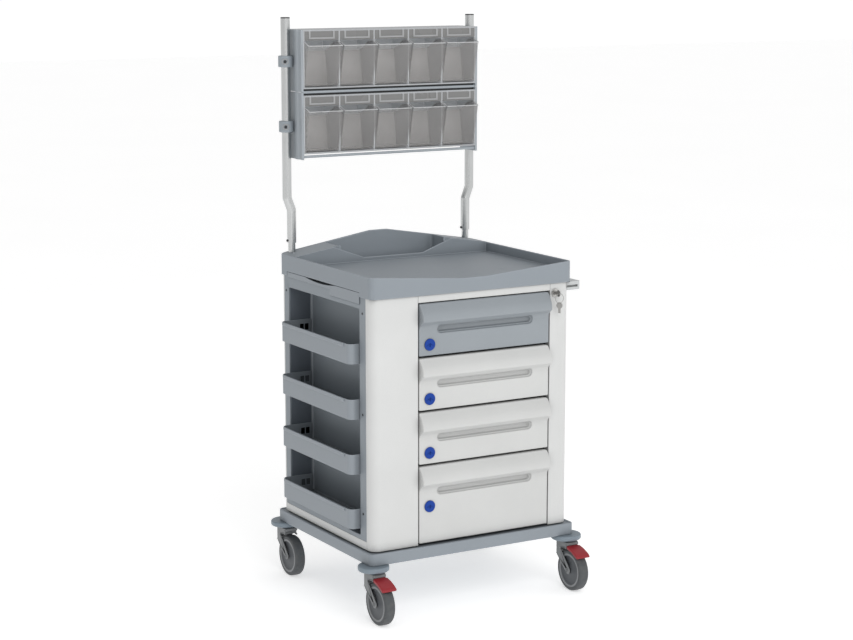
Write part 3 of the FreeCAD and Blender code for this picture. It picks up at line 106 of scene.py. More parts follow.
class Shader:
    """A node material that is put together one node at a time."""

    def __init__(self, name):
        self.material = bpy.data.materials.new(name)
        self.material.use_nodes = True
        self.tree = self.material.node_tree
        self.tree.nodes.clear()
        self.place = self.add("ShaderNodeTexCoord").outputs["Object"]
        self.output = self.add("ShaderNodeOutputMaterial")

    def add(self, kind, **settings):
        """A new node with some of its settings given."""
        made = self.tree.nodes.new(kind)
        for key, setting in settings.items():
            setattr(made, key, setting)
        return made

    def feed(self, socket, source):
        """Link a socket, or set its value."""
        if isinstance(source, bpy.types.NodeSocket):
            self.tree.links.new(source, socket)
        else:
            socket.default_value = source

    def noise(self, scale, detail=3.0, stretch=(1, 1, 1), rough=0.55):
        """Noise in the piece's own space, stretched along its axes."""
        mapping = self.add("ShaderNodeMapping")
        self.feed(mapping.inputs["Vector"], self.place)
        mapping.inputs["Scale"].default_value = stretch
        made = self.add("ShaderNodeTexNoise")
        self.feed(made.inputs["Vector"], mapping.outputs["Vector"])
        made.inputs["Scale"].default_value = scale
        made.inputs["Detail"].default_value = detail
        made.inputs["Roughness"].default_value = rough
        return made.outputs["Fac"]

    def spread(self, source, low, high, to_low=0.0, to_high=1.0):
        """Bring a value from one range into another, held at both ends."""
        made = self.add("ShaderNodeMapRange")
        self.feed(made.inputs["Value"], source)
        set_range(made, low, high, to_low, to_high)
        return made.outputs["Result"]

    def clouds(self, scale, detail=3.0, stretch=(1, 1, 1)):
        """Soft patches between 0 and 1."""
        return self.spread(self.noise(scale, detail, stretch), *CLOUD_RANGE)

    def math(self, operation, first, second):
        """Arithmetic on two values."""
        made = self.add("ShaderNodeMath", operation=operation)
        self.feed(made.inputs[0], first)
        self.feed(made.inputs[1], second)
        return made.outputs["Value"]

    def times(self, first, second):
        """Product of two values."""
        return self.math("MULTIPLY", first, second)

    def plus(self, first, second):
        """Sum of two values."""
        return self.math("ADD", first, second)

    def mix(self, share, first, second):
        """One colour over another."""
        made = self.add("ShaderNodeMix", data_type="RGBA")
        self.feed(made.inputs["Factor"], share)
        self.feed(made.inputs["A"], first)
        self.feed(made.inputs["B"], second)
        return made.outputs["Result"]

    def edges(self, radius):
        """How sharply the surface turns within a radius: 0 on flats, 1 on edges."""
        bevel = self.add("ShaderNodeBevel", samples=EDGE_SAMPLES)
        bevel.inputs["Radius"].default_value = radius
        geometry = self.add("ShaderNodeNewGeometry")
        dot = self.add("ShaderNodeVectorMath", operation="DOT_PRODUCT")
        self.feed(dot.inputs[0], bevel.outputs["Normal"])
        self.feed(dot.inputs[1], geometry.outputs["Normal"])
        return self.spread(dot.outputs["Value"], *EDGE_RANGE)

    def crevices(self, distance):
        """How much nearby walls hide of the surroundings: 0 in the open, 1 far into a gap;
        plastic's painted crevice tint follows it.
        """
        hidden = self.add("ShaderNodeAmbientOcclusion", samples=CREVICE_SAMPLES)
        hidden.inputs["Distance"].default_value = distance
        return self.spread(hidden.outputs["AO"], *CREVICE_RANGE)

    def bump(self, height, distance, strength=1.0, below=None):
        """A normal from a height, on top of another one."""
        made = self.add("ShaderNodeBump")
        self.feed(made.inputs["Height"], height)
        made.inputs["Distance"].default_value = distance
        made.inputs["Strength"].default_value = strength
        if below is not None:
            self.feed(made.inputs["Normal"], below)
        return made.outputs["Normal"]

    def surface(self, colour, rough, normal, **constant):
        """Close the material with one Principled shader."""
        made = self.add("ShaderNodeBsdfPrincipled")
        self.feed(made.inputs["Base Color"], colour)
        self.feed(made.inputs["Roughness"], rough)
        if normal is not None:
            self.feed(made.inputs["Normal"], normal)
        for key, number in constant.items():
            self.feed(made.inputs[key.replace("_", " ")], number)
        self.feed(self.output.inputs["Surface"], made.outputs["BSDF"])
        return self.material


def tint(colour, share):
    """A colour made lighter (above 1) or darker (below 1), as a node colour."""
    return tuple(min(1.0, part * share) for part in colour) + (1.0,)


def plastic(name, colour, rough=0.42, grain=900.0, edge_wear_and_highlight=0.25, edge_wear_and_highlight_tint=1.28, edge_size=0.0018,
            dust_and_painted_crevice=0.55, crevice_paint_tint=0.3, reach=0.03, **constant):
    """Moulded plastic: fine grain, clouding, lighter edges, dull scuffs and a painted tint in
    hollows.

    The edge share is how strongly edges take the lighter tint, partly worn edges and partly painted
    highlight; the crevice share is how strongly places within reach of other walls take the crevice
    tint, which is painted shade where it is darker than the body and painted light where lighter.
    """
    shader = Shader(name)
    cloud = shader.clouds(5.0, 4.0)
    speck = shader.spread(shader.noise(grain * 0.6, 2.0), 0.35, 0.65)
    edge = shader.edges(edge_size)
    body = shader.mix(cloud, tint(colour, 0.965), tint(colour, 1.03))
    body = shader.mix(shader.times(speck, 0.35), body, tint(colour, 0.95))
    # Lighter edges: partly worn edges, partly painted highlight where the edges catch the light.
    body = shader.mix(shader.times(edge, edge_wear_and_highlight), body, tint(colour, edge_wear_and_highlight_tint))
    # Crevice tint: painted shade in gaps and hollows where it is darker than the body, painted
    # light where it is lighter.
    body = shader.mix(shader.times(shader.crevices(reach), dust_and_painted_crevice), body, tint(colour, crevice_paint_tint))
    scuff = shader.spread(shader.noise(26.0, 6.0, (1, 1, 7), 0.7), 0.6, 0.72)
    dull = shader.plus(shader.times(scuff, 0.12), shader.times(cloud, 0.06))
    roughness = shader.plus(dull, rough)
    normal = shader.bump(shader.noise(grain, 2.0), 0.00005, 0.7)
    normal = shader.bump(shader.noise(14.0, 2.0), 0.0003, 0.25, normal)
    return shader.surface(body, roughness, normal, **constant)


def powder_paint(name, colour, rough=0.36):
    """Powder-coated sheet: orange-peel bump, faint clouding and lighter edges."""
    shader = Shader(name)
    cloud = shader.clouds(3.5)
    edge = shader.edges(0.0015)
    body = shader.mix(cloud, tint(colour, 0.975), tint(colour, 1.02))
    body = shader.mix(shader.times(edge, 0.22), body, tint(colour, 1.2))
    peel = shader.noise(420.0, 2.0)
    roughness = shader.plus(shader.times(shader.spread(peel, 0.35, 0.65), 0.09), rough)
    normal = shader.bump(peel, 0.00006, 0.6)
    return shader.surface(body, roughness, normal, Coat_Weight=0.15, Coat_Roughness=0.25)


def metal(name, colour, rough, brushed, stretch, depth=0.00002):
    """Bare metal with fine lines along the way it was worked."""
    shader = Shader(name)
    lines = shader.noise(brushed, 4.0, stretch)
    cloud = shader.clouds(9.0)
    body = shader.mix(cloud, tint(colour, 0.93), tint(colour, 1.04))
    body = shader.mix(shader.spread(lines, 0.35, 0.75, 0.0, 0.25), body, tint(colour, 0.8))
    roughness = shader.plus(shader.times(shader.spread(lines, 0.3, 0.7), 0.08), rough)
    normal = shader.bump(lines, depth, 0.5)
    return shader.surface(body, roughness, normal, Metallic=1.0)


def rubber(name, colour, rough=0.62):
    """Grey tyre rubber: dusty grain, clouding and paler edges."""
    shader = Shader(name)
    dust_and_painted_crevice = shader.spread(shader.noise(60.0, 5.0), 0.45, 0.75)
    cloud = shader.clouds(18.0)
    body = shader.mix(cloud, tint(colour, 0.85), tint(colour, 1.12))
    body = shader.mix(shader.times(dust_and_painted_crevice, 0.18), body, DUST_COLOUR)
    edge = shader.edges(0.0015)
    body = shader.mix(shader.times(edge, 0.3), body, tint(colour, 1.9))
    roughness = shader.plus(shader.times(dust_and_painted_crevice, 0.15), rough)
    normal = shader.bump(shader.noise(700.0, 3.0), 0.00008, 0.8)
    return shader.surface(body, roughness, normal)


def smoky_clear(name, colour, alpha_low, alpha_high):
    """Clear tinted plastic: thin face on, denser at a slant, with a painted highlight along edges.
    """
    shader = Shader(name)
    cloud = shader.clouds(12.0)
    flow = shader.clouds(30.0, 4.0, (5, 1, 0.6))
    edge = shader.edges(0.0014)
    body = shader.mix(cloud, tint(colour, 0.93), tint(colour, 1.06))
    # Paler colour along edges: painted highlight.
    body = shader.mix(shader.times(edge, 0.8), body, CLEAR_EDGE_HIGHLIGHT)
    slant = shader.add("ShaderNodeLayerWeight")
    slant.inputs["Blend"].default_value = 0.35
    share = shader.spread(slant.outputs["Facing"], 0.05, 0.95, alpha_low, alpha_high)
    share = shader.plus(share, shader.times(edge, 0.4))
    share = shader.plus(share, shader.times(flow, 0.05))
    share = shader.math("MINIMUM", share, 1.0)
    roughness = shader.plus(shader.times(flow, 0.05), 0.07)
    normal = shader.bump(flow, 0.0001, 0.2)
    return shader.surface(body, roughness, normal, Alpha=share)


DUST_COLOUR = (0.23, 0.22, 0.2, 1.0)
# Colour of the painted highlight along clear plastic's edges.
CLEAR_EDGE_HIGHLIGHT = (0.72, 0.74, 0.75, 1.0)
WHITE = (0.63, 0.636, 0.63)
GREY = (0.255, 0.285, 0.315)

MATERIALS = {
    # The strong, wide edge tint of base_grey is mostly painted highlight along its rims.
    "base_grey": plastic("base_grey", GREY, 0.44, edge_wear_and_highlight=0.8, edge_wear_and_highlight_tint=1.7, edge_size=0.0032),
    "side_grey": plastic("side_grey", (0.248, 0.278, 0.306), 0.48, dust_and_painted_crevice=0.2),
    "bin_grey": plastic("bin_grey", (0.262, 0.29, 0.318), 0.42, edge_wear_and_highlight=0.6, edge_wear_and_highlight_tint=1.5,
                        edge_size=0.0026),
    "drawer_grey": plastic("drawer_grey", (0.285, 0.312, 0.336), 0.36, edge_wear_and_highlight=0.4),
    "drawer_white": plastic("drawer_white", (0.59, 0.595, 0.587), 0.34, edge_wear_and_highlight=0.1),
    "panel_white": powder_paint("panel_white", WHITE),
    "column_white": plastic("column_white", WHITE, 0.36, edge_wear_and_highlight=0.1),
    # Dark-painted sheet, made near-black as painted shade in the gaps between the drawers.
    "carcass_steel": powder_paint("carcass_steel", (0.035, 0.04, 0.045), 0.5),
    "box_plastic": plastic("box_plastic", (0.5, 0.515, 0.53), 0.45),
    "chrome_tube": metal("chrome_tube", (0.56, 0.57, 0.57), 0.2, 260.0, (1, 1, 0.05), 0.000004),
    # Its faint glow stands in for light that passes through the translucent housing, and its
    # crevice tint, lighter than the body, is painted light in the compartments' hollows.
    "rack_plastic": plastic("rack_plastic", (0.33, 0.342, 0.355), 0.4, dust_and_painted_crevice=0.8, crevice_paint_tint=2.3,
                            reach=0.12, Emission_Color=(0.5, 0.5, 0.5, 1.0),
                            Emission_Strength=0.07),
    "rack_paint": powder_paint("rack_paint", (0.34, 0.372, 0.4)),
    "clear_smoke": smoky_clear("clear_smoke", (0.42, 0.412, 0.406), 0.14, 0.7),
    "clamp_plastic": plastic("clamp_plastic", (0.29, 0.325, 0.355), 0.4, dust_and_painted_crevice=0.3),
    "bumper_plastic": plastic("bumper_plastic", (0.2, 0.245, 0.285), 0.42),
    "handle_white": plastic("handle_white", (0.52, 0.535, 0.54), 0.38),
    "disc_blue": plastic("disc_blue", (0.004, 0.045, 0.3), 0.4, edge_wear_and_highlight=0.15,
                         Specular_IOR_Level=0.25),
    "black_plastic": plastic("black_plastic", (0.018, 0.019, 0.021), 0.4),
    "lock_nickel": metal("lock_nickel", (0.5, 0.495, 0.48), 0.24, 600.0, (1, 1, 1)),
    "key_nickel": metal("key_nickel", (0.36, 0.355, 0.345), 0.3, 700.0, (1, 1, 0.2)),
    "fork_grey": plastic("fork_grey", (0.205, 0.213, 0.218), 0.4),
    "wheel_rubber": rubber("wheel_rubber", (0.068, 0.074, 0.079)),
    "pedal_red": plastic("pedal_red", (0.3, 0.014, 0.022), 0.38, edge_wear_and_highlight=0.3),
}
LIGHT_RING = plastic("wheel_ring", (0.225, 0.233, 0.241), 0.4)
HUB_COVER = plastic("hub_cover", (0.075, 0.082, 0.09), 0.45)
# A lighter copy of the smoked plastic for the bins' rear walls and bottoms: painted light where the
# housing shades them.
CLEAR_INNER_LIT = smoky_clear("clear_inner_lit", (0.62, 0.6, 0.585), 0.55, 0.9)
# Paler smoked plastic on the bead along the bins' rim: a painted highlight.
CLEAR_RIM_HIGHLIGHT = smoky_clear("clear_rim_highlight", (0.62, 0.63, 0.64), 0.45, 0.95)
STRIP_COVER = plastic("strip_cover", (0.2, 0.2, 0.198), 0.25)
# Dark panes of the side bins' windows: painted shade standing for slots.
WINDOW_SHADE = plastic("window_shade", (0.07, 0.078, 0.086), 0.5)
HOLDER_PALE = plastic("holder_pale", (0.36, 0.365, 0.37), 0.4)
# Dark sheet over the side compartment's end walls: painted shade.
END_WALL_SHADE = plastic("end_wall_shade", (0.13, 0.15, 0.175), 0.5, dust_and_painted_crevice=0.2)
# Pale strip along the compartment's rear corners: painted highlight on the seam.
SEAM_HIGHLIGHT = plastic("seam_highlight", (0.46, 0.49, 0.52), 0.35, dust_and_painted_crevice=0.0)


# ---------------------------------------------------------------- mesh helpers


class Form:
    """Points (in millimetres) and faces of one piece, gathered before its mesh is made."""

    def __init__(self):
        self.points = []
        self.faces = []
        self.finishes = []

    def add(self, points, faces, finish=0):
        """Take in points and faces that are numbered from 0, with one finish."""
        start = len(self.points)
        self.points += [tuple(point) for point in points]
        self.faces += [tuple(start + index for index in face) for face in faces]
        self.finishes += [finish] * len(faces)

    def prism(self, outline, low, high, place, finish=0):
        """Carry a flat outline from low to high.

        place turns the outline's two numbers and the third into a point.
        """
        count = len(outline)
        points = [place(one, two, level) for level in (low, high) for one, two in outline]
        faces = [tuple(range(count)), tuple(range(count, 2 * count))]
        for index in range(count):
            after = (index + 1) % count
            faces.append((index, after, after + count, index + count))
        self.add(points, faces, finish)

    def lathe(self, centre, profile, finish=0, steps=96):
        """Turn a closed profile of (across, radius) points about the X axis through a centre."""
        count = len(profile)
        points = []
        faces = []
        for step in range(steps):
            turn = 2 * math.pi * step / steps
            here = step * count
            there = (step + 1) % steps * count
            for index, (across, radius) in enumerate(profile):
                after = (index + 1) % count
                points.append((centre[0] + across, centre[1] + radius * math.cos(turn),
                               centre[2] + radius * math.sin(turn)))
                faces.append((here + index, here + after, there + after, there + index))
        self.add(points, faces, finish)

    def bead(self, path, radius, finish=0, normal=(0, 0, 1), sides=8):
        """Round bar along a closed path that lies more or less square to the normal."""
        path = [Vector(point) for point in path]
        count = len(path)
        points = []
        faces = []
        for index, point in enumerate(path):
            after = (path[(index + 1) % count] - point).normalized()
            tangent = ((point - path[index - 1]).normalized() + after).normalized()
            side = tangent.cross(Vector(normal)).normalized()
            lift = side.cross(tangent) * radius
            side *= radius / tangent.dot(after)
            here = index * sides
            there = (index + 1) % count * sides
            for part in range(sides):
                turn = 2 * math.pi * part / sides
                following = (part + 1) % sides
                points.append(point + side * math.cos(turn) + lift * math.sin(turn))
                faces.append((here + part, here + following, there + following, there + part))
        self.add(points, faces, finish)

    def done(self, name, body, finishes, replaces=(), sharp=38.0):
        """Make the mesh object, with its finishes, its body and the node it stands for."""
        shape = bmesh.new()
        vertices = [shape.verts.new([part * MM for part in point]) for point in self.points]
        for indices, finish in zip(self.faces, self.finishes):
            face = shape.faces.new([vertices[index] for index in indices])
            face.material_index = finish
            face.smooth = True
        bmesh.ops.recalc_face_normals(shape, faces=shape.faces)
        mesh = bpy.data.meshes.new(name)
        shape.to_mesh(mesh)
        shape.free()
        for material in finishes:
            mesh.materials.append(material)
        mesh.set_sharp_from_angle(angle=math.radians(sharp))
        piece = bpy.data.objects.new(name, mesh)
        bpy.context.scene.collection.objects.link(piece)
        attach(piece, body)
        if replaces:
            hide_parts(*replaces)
        return piece


def across_x(first, second, third):
    """Place a side outline of (y, z) at an x."""
    return (third, first, second)


def across_y(first, second, third):
    """Place a front outline of (x, z) at a y."""
    return (first, third, second)


def upward(first, second, third):
    """Place a plan outline of (x, y) at a z."""
    return (first, second, third)


def moved(outline, first, second):
    """An outline shifted by two numbers."""
    return [(one + first, two + second) for one, two in outline]


def rectangle(left, right, low, high):
    """Outline of a rectangle."""
    return [(left, low), (right, low), (right, high), (left, high)]


def stations(*spans):
    """Numbers from 0 on, through (end, step) spans, each divided evenly."""
    numbers = [0.0]
    for end, step in spans:
        start = numbers[-1]
        count = max(1, round((end - start) / step))
        numbers += [start + (end - start) * (index + 1) / count for index in range(count)]
    return numbers


def between(table, number):
    """Value on a line of (number, value) points."""
    for (low, from_low), (high, from_high) in zip(table, table[1:]):
        if number <= high:
            return from_low + (from_high - from_low) * (number - low) / (high - low)
    return table[-1][1]


def smooth_step(number):
    """0 to 1 with soft ends."""
    held = min(1.0, max(0.0, number))
    return held * held * (3 - 2 * held)


def box_mm(node):
    """Lowest and highest corners of a CAD node in millimetres."""
    return [[part / MM for part in corner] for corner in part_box(node)]


MERGE_WITHIN = 0.00001


def soften(thing, width, angle=30.0, segments=2):
    """Round the edges of a mesh with modifiers, and leave its own points alone."""
    weld = thing.modifiers.new("weld", "WELD")
    weld.merge_threshold = MERGE_WITHIN
    bevel = thing.modifiers.new("bevel", "BEVEL")
    bevel.width = width
    bevel.segments = segments
    bevel.limit_method = "ANGLE"
    bevel.angle_limit = math.radians(angle)
    bevel.use_clamp_overlap = False
    bevel.harden_normals = True
    thing.modifiers.new("normals", "WEIGHTED_NORMAL").keep_sharp = True
    return thing


def slot_of(node):
    """The record's material slot of a CAD node."""
    return next(row["material_slot"] for row in frame["record"]["subparts"] if row["node"] == node)


def dress(node, width):
    """Give a CAD node its material and softened edges."""
    thing = NODES[node]
    material = MATERIALS[slot_of(node)]
    thing.data.materials.clear()
    thing.data.materials.append(material)
    soften(thing, width)


# ---------------------------------------------------------------- drawer fronts

GRIP_PROUD = 22.0
# Distance below the front's top, and how far the canopy grip stands out there.
GRIP_LINE = [(0, 0), (4, 2), (8, 4.4), (12, 7.2), (17, 10.8), (22, 14.2), (26, 16.6), (31, 18.9),
             (36, 20.4), (41, 21.4), (46, 21.9), (49.5, 22), (51.5, 21.2), (53.5, 19), (56, 15.4),
             (59, 11.4), (62, 8), (65, 5.2), (68, 3.1), (72, 1.3), (76, 0.3), (79, 0)]
GRIP_END = 4.2
GRIP_ROUND = 2.5
RECESS_X = 42.0
RECESS_HALF = 164.0
RECESS_DROP = 77.5
RECESS_RADIUS = 13.0
RECESS_LIP = 0.8
RECESS_BLEND = 4.0
# Distance in from the recess's outer edge, and the depth there.
RECESS_STEPS = [(0, 0), (0.8, 0.5), (1.6, 2.6), (2.2, 4.4), (3, 5.2), (5, 5.6), (5.8, 6.6),
                (7, 10.4), (8, 11.6), (9.5, 12)]
FRONT_EDGE = 3.0
FRONT_CORNER = 5.0
FRONT_CORNER_TOP_RIGHT = 10.0


def front_relief(x, drop, from_edge, from_end):
    """How far a drawer front's face lies behind the plane of its skirt, at a place on it."""
    proud = between(GRIP_LINE, drop) * (1 - (1 - min(1.0, from_end / GRIP_END)) ** GRIP_ROUND)
    reach = RECESS_HALF - RECESS_RADIUS
    along = min(reach, max(-reach, x - RECESS_X))
    away = math.hypot(x - RECESS_X - along, drop - RECESS_DROP)
    inset = max(0.0, RECESS_RADIUS + RECESS_LIP - away)
    sunk = smooth_step(inset / RECESS_BLEND)
    rounded = max(0.0, FRONT_EDGE - from_edge)
    fall = FRONT_EDGE - math.sqrt(FRONT_EDGE ** 2 - rounded ** 2)
    return (sunk - 1) * proud + between(RECESS_STEPS, inset) + fall


def round_corner(from_side, from_top, radius):
    """Draw a square corner's points in to a quarter circle.

    Both numbers that go in and come out are distances from the corner's two edges.
    """
    if from_side >= radius or from_top >= radius:
        return from_side, from_top
    one = 1 - from_side / radius
    two = 1 - from_top / radius
    return (radius * (1 - one * math.sqrt(1 - two * two / 2)),
            radius * (1 - two * math.sqrt(1 - one * one / 2)))


def front_columns(wide, recess_left, recess_right):
    """Distances across a front: fine along its edges and at the ends of the recess."""
    return stations((3, 0.5), (5, 1), (recess_left - 3, 9), (recess_left + 16, 1.2),
                    (recess_right - 16, 14), (recess_right + 3, 1.2), (wide - 10, 9),
                    (wide - 5, 1.5), (wide - 3, 1), (wide, 0.5))


def front_rows(tall):
    """Distances down a front: fine along its edges, under the grip and over the recess."""
    return stations((3, 0.5), (5, 1), (11, 1.5), (44, 3.5), (62, 1.5), (93, 1), (tall - 5, 12),
                    (tall - 3, 1), (tall, 0.5))


def grid_faces(rows, columns):
    """Faces between the points of a grid, numbered row by row."""
    return [(row * columns + column, row * columns + column + 1,
             (row + 1) * columns + column + 1, (row + 1) * columns + column)
            for row in range(rows - 1) for column in range(columns - 1)]


def grid_rim(rows, columns):
    """Numbers of the points round a grid, in order."""
    rim = list(range(columns - 1))
    rim += [row * columns + columns - 1 for row in range(rows - 1)]
    rim += [(rows - 1) * columns + column for column in range(columns - 1, 0, -1)]
    rim += [row * columns for row in range(rows - 1, 0, -1)]
    return rim


def drawer_front(number):
    """Moulded front: canopy grip, long soft-edged finger recess and rounded edges all round."""
    node = f"drawer_front_{number}"
    low, high = box_mm(node)
    wide = high[0] - low[0]
    tall = high[2] - low[2]
    face = low[1] + GRIP_PROUD
    recess_left = RECESS_X - RECESS_HALF - low[0]
    recess_right = RECESS_X + RECESS_HALF - low[0]
    across = front_columns(wide, recess_left, recess_right)
    down = front_rows(tall)
    points = []
    for drop in down:
        for over in across:
            from_end = min(over, wide - over)
            from_level = min(drop, tall - drop)
            right = over > wide / 2
            upper = drop < tall / 2
            radius = FRONT_CORNER_TOP_RIGHT if right and upper else FRONT_CORNER
            new_end, new_level = round_corner(from_end, from_level, radius)
            x = high[0] - new_end if right else low[0] + new_end
            z = high[2] - new_level if upper else low[2] + new_level
            relief = front_relief(x, drop, min(from_end, from_level), from_end)
            points.append((x, face + relief, z))
    faces = grid_faces(len(down), len(across))
    rim = grid_rim(len(down), len(across))
    back = len(points)
    points += [(points[index][0], high[1], points[index][2]) for index in rim]
    around = len(rim)
    faces += [(rim[index], rim[(index + 1) % around], back + (index + 1) % around, back + index)
              for index in range(around)]
    faces.append(tuple(back + index for index in range(around)))
    form = Form()
    form.add(points, faces)
    slot = slot_of(node)
    form.done(f"drawer_face_{number}", f"drawer_{number}", [MATERIALS[slot]], [node])


# ---------------------------------------------------------------- bin rack

RACK_FRONT = 226.75
UNIT_LOW = {"upper": 1507.0, "lower": 1312.0}
BIN_PITCH = 119.2
BIN_HALF = 56.8
BIN_WALL = 2.0
BIN_EDGE = 0.8
BIN_MIDDLE = 3
# Side outlines from the front foot up over the lip to the rear foot, outside and inside.
BIN_SIDE = [(2, 8), (-27, 128), (2, 139), (30, 136), (84, 108), (70, 8)]
BIN_HOLLOW = [(3.9, 10.2), (-24.8, 128.8), (2, 139), (30, 136), (82, 109.1), (68.2, 10.2)]
LIP, REAR_TOP, REAR_FOOT = 1, 4, 5
BIN_RIM = slice(LIP, REAR_FOOT)
BIN_BEAD = 1.5
LIT_INNER_FINISH = 2

COVER_HALF = 57.4
COVER_LOW = 143.4
COVER_HIGH = 170.6
COVER_BACK = 0.3
COVER_FRONT = -0.9
COVER_EDGE = 0.4
HOLDER_BACK = -0.8
HOLDER_FRONT = -2.1
HOLDER_EDGE = 0.5
# A holder is open at the top: two arms that stand on a bar.
HOLDER_ARMS = [(-43.4, 147.4), (43.4, 147.4), (43.4, 170), (37.6, 170), (37.6, 152.6),
               (-37.6, 152.6), (-37.6, 170), (-43.4, 170)]


def tilt_bin(unit, number):
    """Clear tipping bin: a thin shell with a pouting front and a bead along its rim."""
    node = f"tilt_bin_{unit}_{number}"
    middle = (number - BIN_MIDDLE) * BIN_PITCH
    outer = moved(BIN_SIDE, RACK_FRONT, UNIT_LOW[unit])
    inner = moved(BIN_HOLLOW, RACK_FRONT, UNIT_LOW[unit])
    count = len(outer)
    walls = ((outer, middle - BIN_HALF), (outer, middle + BIN_HALF),
             (inner, middle - BIN_HALF + BIN_WALL), (inner, middle + BIN_HALF - BIN_WALL))
    outside, inside = 0, 2 * count
    points = [(x, y, z) for outline, x in walls for y, z in outline]
    faces = [tuple(range(start, start + count)) for start in (0, count, 2 * count, 3 * count)]
    # The front wall, outside and inside.
    for start in (outside, inside):
        faces.append((start, start + 1, start + count + 1, start + count))
    # The tops of both ends, from the lip to the rear.
    for start in (0, count):
        for index in range(LIP, REAR_TOP):
            faces.append((start + index, start + index + 1, start + inside + index + 1,
                          start + inside + index))
    # The tops of the front wall and of the rear wall.
    for index in (LIP, REAR_TOP):
        faces.append((index, index + count, index + 3 * count, index + inside))
    # The rear wall and the bottom, outside and inside.
    behind = []
    for index in (REAR_TOP, REAR_FOOT):
        after = (index + 1) % count
        for start in (outside, inside):
            behind.append((start + index, start + after, start + count + after,
                           start + count + index))
    form = Form()
    form.add(points, faces + behind)
    # The rear wall and bottom take the lighter finish: painted light.
    form.finishes[-len(behind):] = [LIT_INNER_FINISH] * len(behind)
    half = BIN_HALF - BIN_WALL / 2
    rim = outer[BIN_RIM]
    path = [(middle - half, y, z) for y, z in rim]
    path += [(middle + half, y, z) for y, z in reversed(rim)]
    # The bead takes the pale rim finish, a painted highlight.
    form.bead(path, BIN_BEAD, 1)
    finishes = [MATERIALS["clear_smoke"], CLEAR_RIM_HIGHLIGHT, CLEAR_INNER_LIT]
    piece = form.done(f"clear_bin_{unit}_{number}", node, finishes, [node])
    soften(piece, BIN_EDGE * MM)


def label_strips(unit):
    """Smoked covers over the label strips, and the pale holders on them."""
    covers = Form()
    holders = Form()
    low = UNIT_LOW[unit]
    for number in TILT_BINS:
        middle = (number - BIN_MIDDLE) * BIN_PITCH
        cover = rectangle(middle - COVER_HALF, middle + COVER_HALF, low + COVER_LOW,
                          low + COVER_HIGH)
        covers.prism(cover, RACK_FRONT + COVER_FRONT, RACK_FRONT + COVER_BACK, across_y)
        holders.prism(moved(HOLDER_ARMS, middle, low), RACK_FRONT + HOLDER_FRONT,
                      RACK_FRONT + HOLDER_BACK, across_y)
    made = covers.done(f"label_covers_{unit}", "cart", [STRIP_COVER])
    soften(made, COVER_EDGE * MM)
    made = holders.done(f"label_holders_{unit}", "cart", [HOLDER_PALE])
    soften(made, HOLDER_EDGE * MM)


CLAMP_PLACE = {"upper": 1587.0, "lower": 1392.0}
CLAMP_HALF_HIGH = 17.0
CLAMP_RADIUS = 22.4
CLAMP_ROOT = 307.2
NECK_FRONT = 286.0
NECK_BACK = 312.0
POST_X = 322.5
POST_Y = 300.25
BOLT_LEAN = math.radians(30)
COLLAR_WIDE = 9.4
COLLAR_HIGH = 7.4
COLLAR_BEAD = 1.7
COLLAR_PROUD = 0.2
COLLAR_STEPS = 32
BOLT_RADIUS = 5.2
BOLT_SUNK = 3
BOLT_PROUD = 0.8
BOLT_SIDES = 6
BOLT_EDGE = 0.4
BOSS_STEPS = 48
NECK_ABOVE_FOOT = 3
NECK_BELOW_TOP = 4
CLAMP_EDGE = 2.5


def clamp_bolt(label, side, z):
    """Oval collar with a hexagon bolt in it, on the round front of a clamp."""
    form = Form()
    lean = Vector((side * math.sin(BOLT_LEAN), -math.cos(BOLT_LEAN), 0))
    along = Vector((-lean.y, lean.x, 0))
    post = Vector((side * POST_X, POST_Y, z))
    oval = []
    for step in range(COLLAR_STEPS):
        turn = 2 * math.pi * step / COLLAR_STEPS
        round_post = COLLAR_WIDE * math.cos(turn) / CLAMP_RADIUS
        outward = lean * math.cos(round_post) + along * math.sin(round_post)
        rise = Vector((0, 0, COLLAR_HIGH * math.sin(turn)))
        oval.append(tuple(post + outward * (CLAMP_RADIUS + COLLAR_PROUD) + rise))
    form.bead(oval, COLLAR_BEAD, 2, tuple(lean))
    points = []
    for out in (CLAMP_RADIUS - BOLT_SUNK, CLAMP_RADIUS + BOLT_PROUD):
        for step in range(BOLT_SIDES):
            turn = math.radians(360 / BOLT_SIDES * step)
            rise = Vector((0, 0, BOLT_RADIUS * math.sin(turn)))
            across = along * (BOLT_RADIUS * math.cos(turn)) + rise
            points.append(tuple(post + lean * out + across))
    faces = []
    for step in range(BOLT_SIDES):
        after = (step + 1) % BOLT_SIDES
        faces.append((step, after, after + BOLT_SIDES, step + BOLT_SIDES))
    faces.append(tuple(range(BOLT_SIDES - 1, -1, -1)))
    faces.append(tuple(range(BOLT_SIDES, 2 * BOLT_SIDES)))
    form.add(points, faces, 1)
    finishes = [MATERIALS["clamp_plastic"], MATERIALS["black_plastic"], HOLDER_PALE]
    piece = form.done(f"clamp_bolt_{label}", "cart", finishes)
    soften(piece, BOLT_EDGE * MM, angle=40.0)


